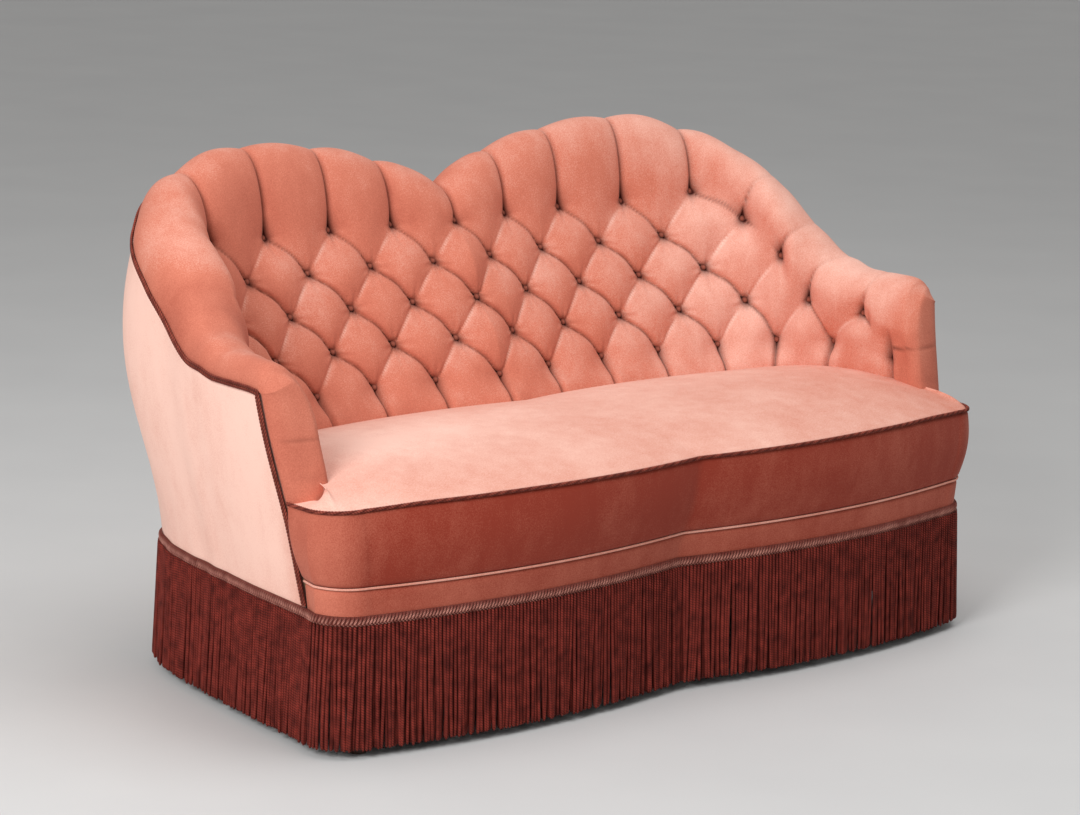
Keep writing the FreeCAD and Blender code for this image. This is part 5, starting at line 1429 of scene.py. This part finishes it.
@dataclass
class Fringe:
    """The looped braid round the base and the bullion fringe that hangs from it."""

    top: float = 0.193
    foot: float = 0.012
    pitch: float = 0.0064
    radius: float = 0.0028
    flare: float = 0.0065
    stitch_pitch: float = 0.0056
    seed: int = 11
    sides: int = 6
    inner_layer: float = 0.0036
    clear: float = 0.0045
    swing: float = 0.0022
    wave: float = 0.0016
    stray: float = 0.0012
    band_run: float = 3.6
    share_places: Tuple[float, ...] = (0, 0.04, 0.2, 0.4, 0.6, 0.8, 0.93, 0.985, 1.0)
    thickness: Tuple[float, ...] = (0.7, 0.95, 1, 1, 1, 1, 1.02, 0.9, 0.45)
    band_profile: Tuple[Tuple[float, float], ...] = (
        (0.0003, -0.0142), (0.0030, -0.0138), (0.0036, -0.0100), (0.0030, -0.0060),
        (0.0034, -0.0020), (0.0026, -0.0002), (0.0003, 0.0))
    loop_swell: float = 0.0012
    loop_flatness: float = 0.9
    loop_rows: Tuple[LoopRow, ...] = (
        LoopRow("braid_loops", 0.0006, -0.0122, 0.0030, 0.0030, 0.0019),
        LoopRow("braid_stitches", -0.0100, -0.0142, -0.0020, 0.0026, 0.0013))

    def base_line(self) -> Tuple[Array, Array, Array]:
        """The closed line round the base at the heading's top.

        Returns:
            Points, outward directions, and which stretch each is on: 0 for the front,
            1 for an arm, 2 for the back.
        """
        station = np.linspace(0, WALL.arm_front, 400)
        reach = WALL.outer_reach(station, np.full(station.shape, WALL.heading_top))
        wall = WALL.point(station, reach, np.full(station.shape, WALL.heading_top))
        steps = np.linspace(FRONT.seam - 1, 0, 200)
        front = FRONT.point(steps, np.full(steps.shape, WALL.heading_top), 0.0)
        half = np.concatenate((wall, front))
        stretch = np.concatenate((np.where(station > 5, 1, 2), np.zeros(len(steps))))
        line = np.concatenate((half, (half * (-1, 1, 1))[-2::-1]))
        stretch = np.concatenate((stretch, stretch[-2::-1]))
        points, _, carried = evenly(line, 0.0025, stretch[:, None])
        points = softened(points, 5)
        run = unit(np.gradient(points, axis=0))
        outward = np.stack((-run[:, 1], run[:, 0], np.zeros(len(run))), -1)
        if (outward * (points - points.mean(0))).sum() < 0:
            outward = -outward
        return points, outward, np.round(carried[:, 0])

    def spaced(self, pitch: float, shift: float = 0) -> Tuple[Array, Array, Array, Array]:
        """Places, outward directions, runs and stretches at a pitch round the base."""
        points, outward, stretch = self.base_line()
        lengths = run_lengths(points)
        count = int(round(lengths[-1] / pitch))
        places = (np.arange(count) + 0.5 + shift) * lengths[-1] / count
        columns = np.hstack((points, outward, stretch[:, None]))
        read = np.stack([np.interp(places, lengths, column) for column in columns.T], -1)
        outward = unit(read[:, 3:6])
        run = np.stack((outward[:, 1], -outward[:, 0], np.zeros(len(outward))), -1)
        return read[:, :3], outward, run, np.round(read[:, 6])

    def strands(self, shift: float, inset: float, seed: int) -> Tuple[Array, Array, Array, Array]:
        """Rings, lengths, stretches and shades of one layer of twisted strands."""
        place, outward, run, stretch = self.spaced(self.pitch, shift)
        chance = np.random.default_rng(seed)
        count = len(place)
        share = np.array(self.share_places)
        foot = self.foot + chance.uniform(0.0, 0.010, count) ** 1.3
        height = between(self.top + 0.001, foot[:, None], share[None, :])
        swing = chance.normal(0, self.swing, count)[:, None]
        wave = self.wave * np.sin(share * 5 + chance.uniform(0, 6, count)[:, None])
        lean = swing * share + wave * share
        stray = chance.normal(0, self.stray, count)[:, None]
        out = self.clear + self.flare * share[None, :] ** 1.1 - inset + stray * share
        centre = place[:, None] + out[..., None] * outward[:, None] + lean[..., None] * run[:, None]
        centre[..., 2] = height
        thick = self.radius * (1 + chance.normal(0, 0.06, count))[:, None] * np.array(self.thickness)
        rings = centre[:, :, None] + thick[:, :, None, None] * level_rings(self.sides, outward, run)
        lengths = (self.top - height) + chance.uniform(0, 0.02, count)[:, None]
        # Painted shade: each strand darker on its side away from the front, and the inner layer darker still.
        shade = 0.9 * (1 - np.cos(angles(self.sides))) / 2 + 0.35 * inset / self.inner_layer
        shade = np.broadcast_to(shade, rings.shape[:3])
        return rings, lengths, stretch, shade

    def build_fringe(self) -> None:
        """Makes the strands of each stretch, in two layers."""
        layers = (self.strands(0.0, 0.0, self.seed), self.strands(0.5, self.inner_layer, self.seed + 1))
        rings, lengths, stretch, shade = (np.concatenate(values) for values in zip(*layers))
        x = rings[:, 0, 0, 0]
        for name, chosen in (("front_fringe", stretch == 0), ("back_fringe", stretch == 2),
                             ("right_side_fringe", (stretch == 1) & (x > 0)),
                             ("left_side_fringe", (stretch == 1) & (x < 0))):
            piece = ring_piece(name + "_strands", rings[chosen], {"painted_shade": shade[chosen]}, lengths[chosen])
            dress(piece, Slot.FRINGE, name)

    def build_braid(self) -> None:
        """Makes the braid: a flat band in painted shade, a row of slanted loops and a row of small ones."""
        points, outward, _ = self.base_line()
        profile = np.array(self.band_profile)
        band = points[:, None] + profile[None, :, :1] * outward[:, None]
        band[..., 2] += profile[None, :, 1]
        band = np.concatenate((band, band[:1]))
        lengths = np.linspace(0, self.band_run, len(band))
        # Painted shade: the whole band is drawn dark, as it lies behind the loops.
        dark = {"painted_shade": np.ones((1, *band.shape[:2]))}
        piece = ring_piece("braid_band", band[None], dark, lengths[None])
        dress(piece, Slot.BRAID, "braid_heading")
        for row in self.loop_rows:
            self.build_loops(row)

    def build_loops(self, row: LoopRow) -> None:
        """Makes one row of the braid's loops, thinner at their ends."""
        place, facing, run, _ = self.spaced(self.stitch_pitch)
        share = np.linspace(0, 1, 6)
        out = row.out + self.loop_swell * np.sin(math.pi * share)
        lean = row.lean * (share - 0.5) * 2
        centre = (place[:, None] + out[None, :, None] * facing[:, None]
                  + lean[None, :, None] * run[:, None])
        centre[..., 2] += between(row.top, row.bottom, share)[None, :]
        size = row.thick * np.sqrt(np.clip(1 - (2 * share - 1) ** 4, 0.05, 1))
        ring = level_rings(self.sides, facing, run, self.loop_flatness)
        rings = centre[:, :, None] + size[None, :, None, None] * ring
        along = np.broadcast_to(share * abs(row.top - row.bottom), (len(place), len(share)))
        shade = np.broadcast_to(0.9 * (1 - smooth((share - 0.15) / 0.5))[None, :, None], rings.shape[:3])
        piece = ring_piece(row.name, rings, {"painted_shade": shade}, along)
        piece.data.materials.append(MATERIALS[Slot.BRAID])
        log.info("%s: %d faces", row.name, len(piece.data.polygons))


@dataclass
class Carcass:
    """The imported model's own pieces that stay: frame, feet, springing and cloths."""

    def build(self) -> None:
        """Gives every node that shows, or lies inside, its slot's finish."""
        slots = {part["node"]: part["material_slot"] for part in frame["record"]["subparts"]}
        for name, node in frame["nodes"].items():
            material = MATERIALS[Slot(slots[name])]
            node.data.materials.clear()
            node.data.materials.append(material)
        log.info("carcass: %d nodes dressed", len(frame["nodes"]))


@dataclass(frozen=True)
class Lamp:
    """A soft square lamp: where it stands, its side in metres and its power in watts."""

    name: str
    place: Tuple[float, float, float]
    size: float
    power: float


@dataclass
class Studio:
    """A pale floor and backdrop, soft lamps and the camera."""

    focal: float = 3639.8
    sensor: float = 36.0
    width: float = 1080.0
    yaw: float = -0.709727
    pitch: float = 0.21297
    roll: float = 0.031147
    camera_place: Tuple[float, float, float] = (-3.62811, -4.19507, 1.58050)
    middle: Tuple[float, float] = (539.99, 408.28)
    height: float = 815.0
    aim: Tuple[float, float, float] = (0, 0, 0.4)
    lamps: Tuple[Lamp, ...] = (Lamp("key", (-3.9, -1.7, 2.5), 1.8, 150),
                               Lamp("top", (0.4, -0.6, 3.6), 2.4, 52))
    floor_half: float = 30.0
    ambient: float = 0.40

    def build_camera(self) -> None:
        """Sets the camera where the photograph was taken from."""
        level = math.cos(self.pitch)
        back = np.array((math.sin(self.yaw) * level, -math.cos(self.yaw) * level, math.sin(self.pitch)))
        right = unit(np.cross(-back, UP))
        up = np.cross(right, -back)
        turned_right = math.cos(self.roll) * right + math.sin(self.roll) * up
        turned_up = -math.sin(self.roll) * right + math.cos(self.roll) * up
        lens = bpy.data.cameras.new("camera")
        lens.sensor_width = self.sensor
        lens.lens = self.focal / self.width * self.sensor
        lens.shift_x = (self.width / 2 - self.middle[0]) / self.width
        lens.shift_y = (self.middle[1] - self.height / 2) / self.width
        camera = bpy.data.objects.new("camera", lens)
        rotation = Matrix(np.stack((turned_right, turned_up, back), 1).tolist()).to_4x4()
        camera.matrix_world = Matrix.Translation(self.camera_place) @ rotation
        bpy.context.scene.collection.objects.link(camera)
        bpy.context.scene.camera = camera

    def build_lamp(self, lamp: Lamp) -> None:
        """Adds a lamp that faces the sofa's middle."""
        light = bpy.data.lights.new(lamp.name, "AREA")
        light.size = lamp.size
        light.energy = lamp.power
        away = unit(np.array(lamp.place) - np.array(self.aim))
        right = unit(np.cross(UP, away))
        up = np.cross(away, right)
        rotation = Matrix(np.stack((right, up, away), 1).tolist()).to_4x4()
        placed = bpy.data.objects.new(lamp.name, light)
        placed.matrix_world = Matrix.Translation(lamp.place) @ rotation
        bpy.context.scene.collection.objects.link(placed)

    def build_world(self) -> None:
        """Adds an even light, and behind the sofa a grey that only the camera sees."""
        world = bpy.data.worlds.new("studio")
        bpy.context.scene.world = world
        world.use_nodes = True
        tree = world.node_tree
        soft = tree.nodes["Background"]
        soft.inputs["Color"].default_value = (1, 0.99, 0.98, 1)
        soft.inputs["Strength"].default_value = self.ambient
        seen = tree.nodes.new("ShaderNodeBackground")
        seen.inputs["Color"].default_value = (0.62, 0.62, 0.62, 1)
        choose = tree.nodes.new("ShaderNodeMixShader")
        rays = tree.nodes.new("ShaderNodeLightPath")
        for output, socket in ((rays.outputs["Is Camera Ray"], choose.inputs[0]),
                               (soft.outputs[0], choose.inputs[1]), (seen.outputs[0], choose.inputs[2]),
                               (choose.outputs[0], tree.nodes["World Output"].inputs[0])):
            tree.links.new(output, socket)

    def build(self) -> None:
        """Adds the floor, the lamps, the world and the camera."""
        mesh = bpy.data.meshes.new("floor")
        half = self.floor_half
        mesh.from_pydata([(-half, -half, 0), (half, -half, 0), (half, half, 0), (-half, half, 0)],
                         [], [(0, 1, 2, 3)])
        floor = bpy.data.objects.new("floor", mesh)
        bpy.context.scene.collection.objects.link(floor)
        nodes = Nodes("pale_floor")
        mottle = nodes.noise(3, 3)
        colour = nodes.mix(mottle, (0.60, 0.60, 0.60), (0.66, 0.66, 0.655))
        floor.data.materials.append(nodes.finish(Base_Color=colour, Roughness=0.6, Specular_IOR_Level=0.2))
        self.build_world()
        for lamp in self.lamps:
            self.build_lamp(lamp)
        bpy.context.scene.view_settings.view_transform = "Standard"
        self.build_camera()


def main() -> None:
    """Builds the sofa's looks in order."""
    logging.basicConfig(level=logging.INFO, format="%(name)s: %(message)s")
    Studio().build()
    Carcass().build()
    ButtonedInside().build()
    Buttons().build()
    OutsideCovers().build()
    seat = Seat()
    seat.build_top()
    seat.build_borders()
    cords = Cords()
    cords.build_rope()
    cords.build_welt()
    cords.build_piping()
    fringe = Fringe()
    fringe.build_fringe()
    fringe.build_braid()


if __name__ == "__main__":
    main()
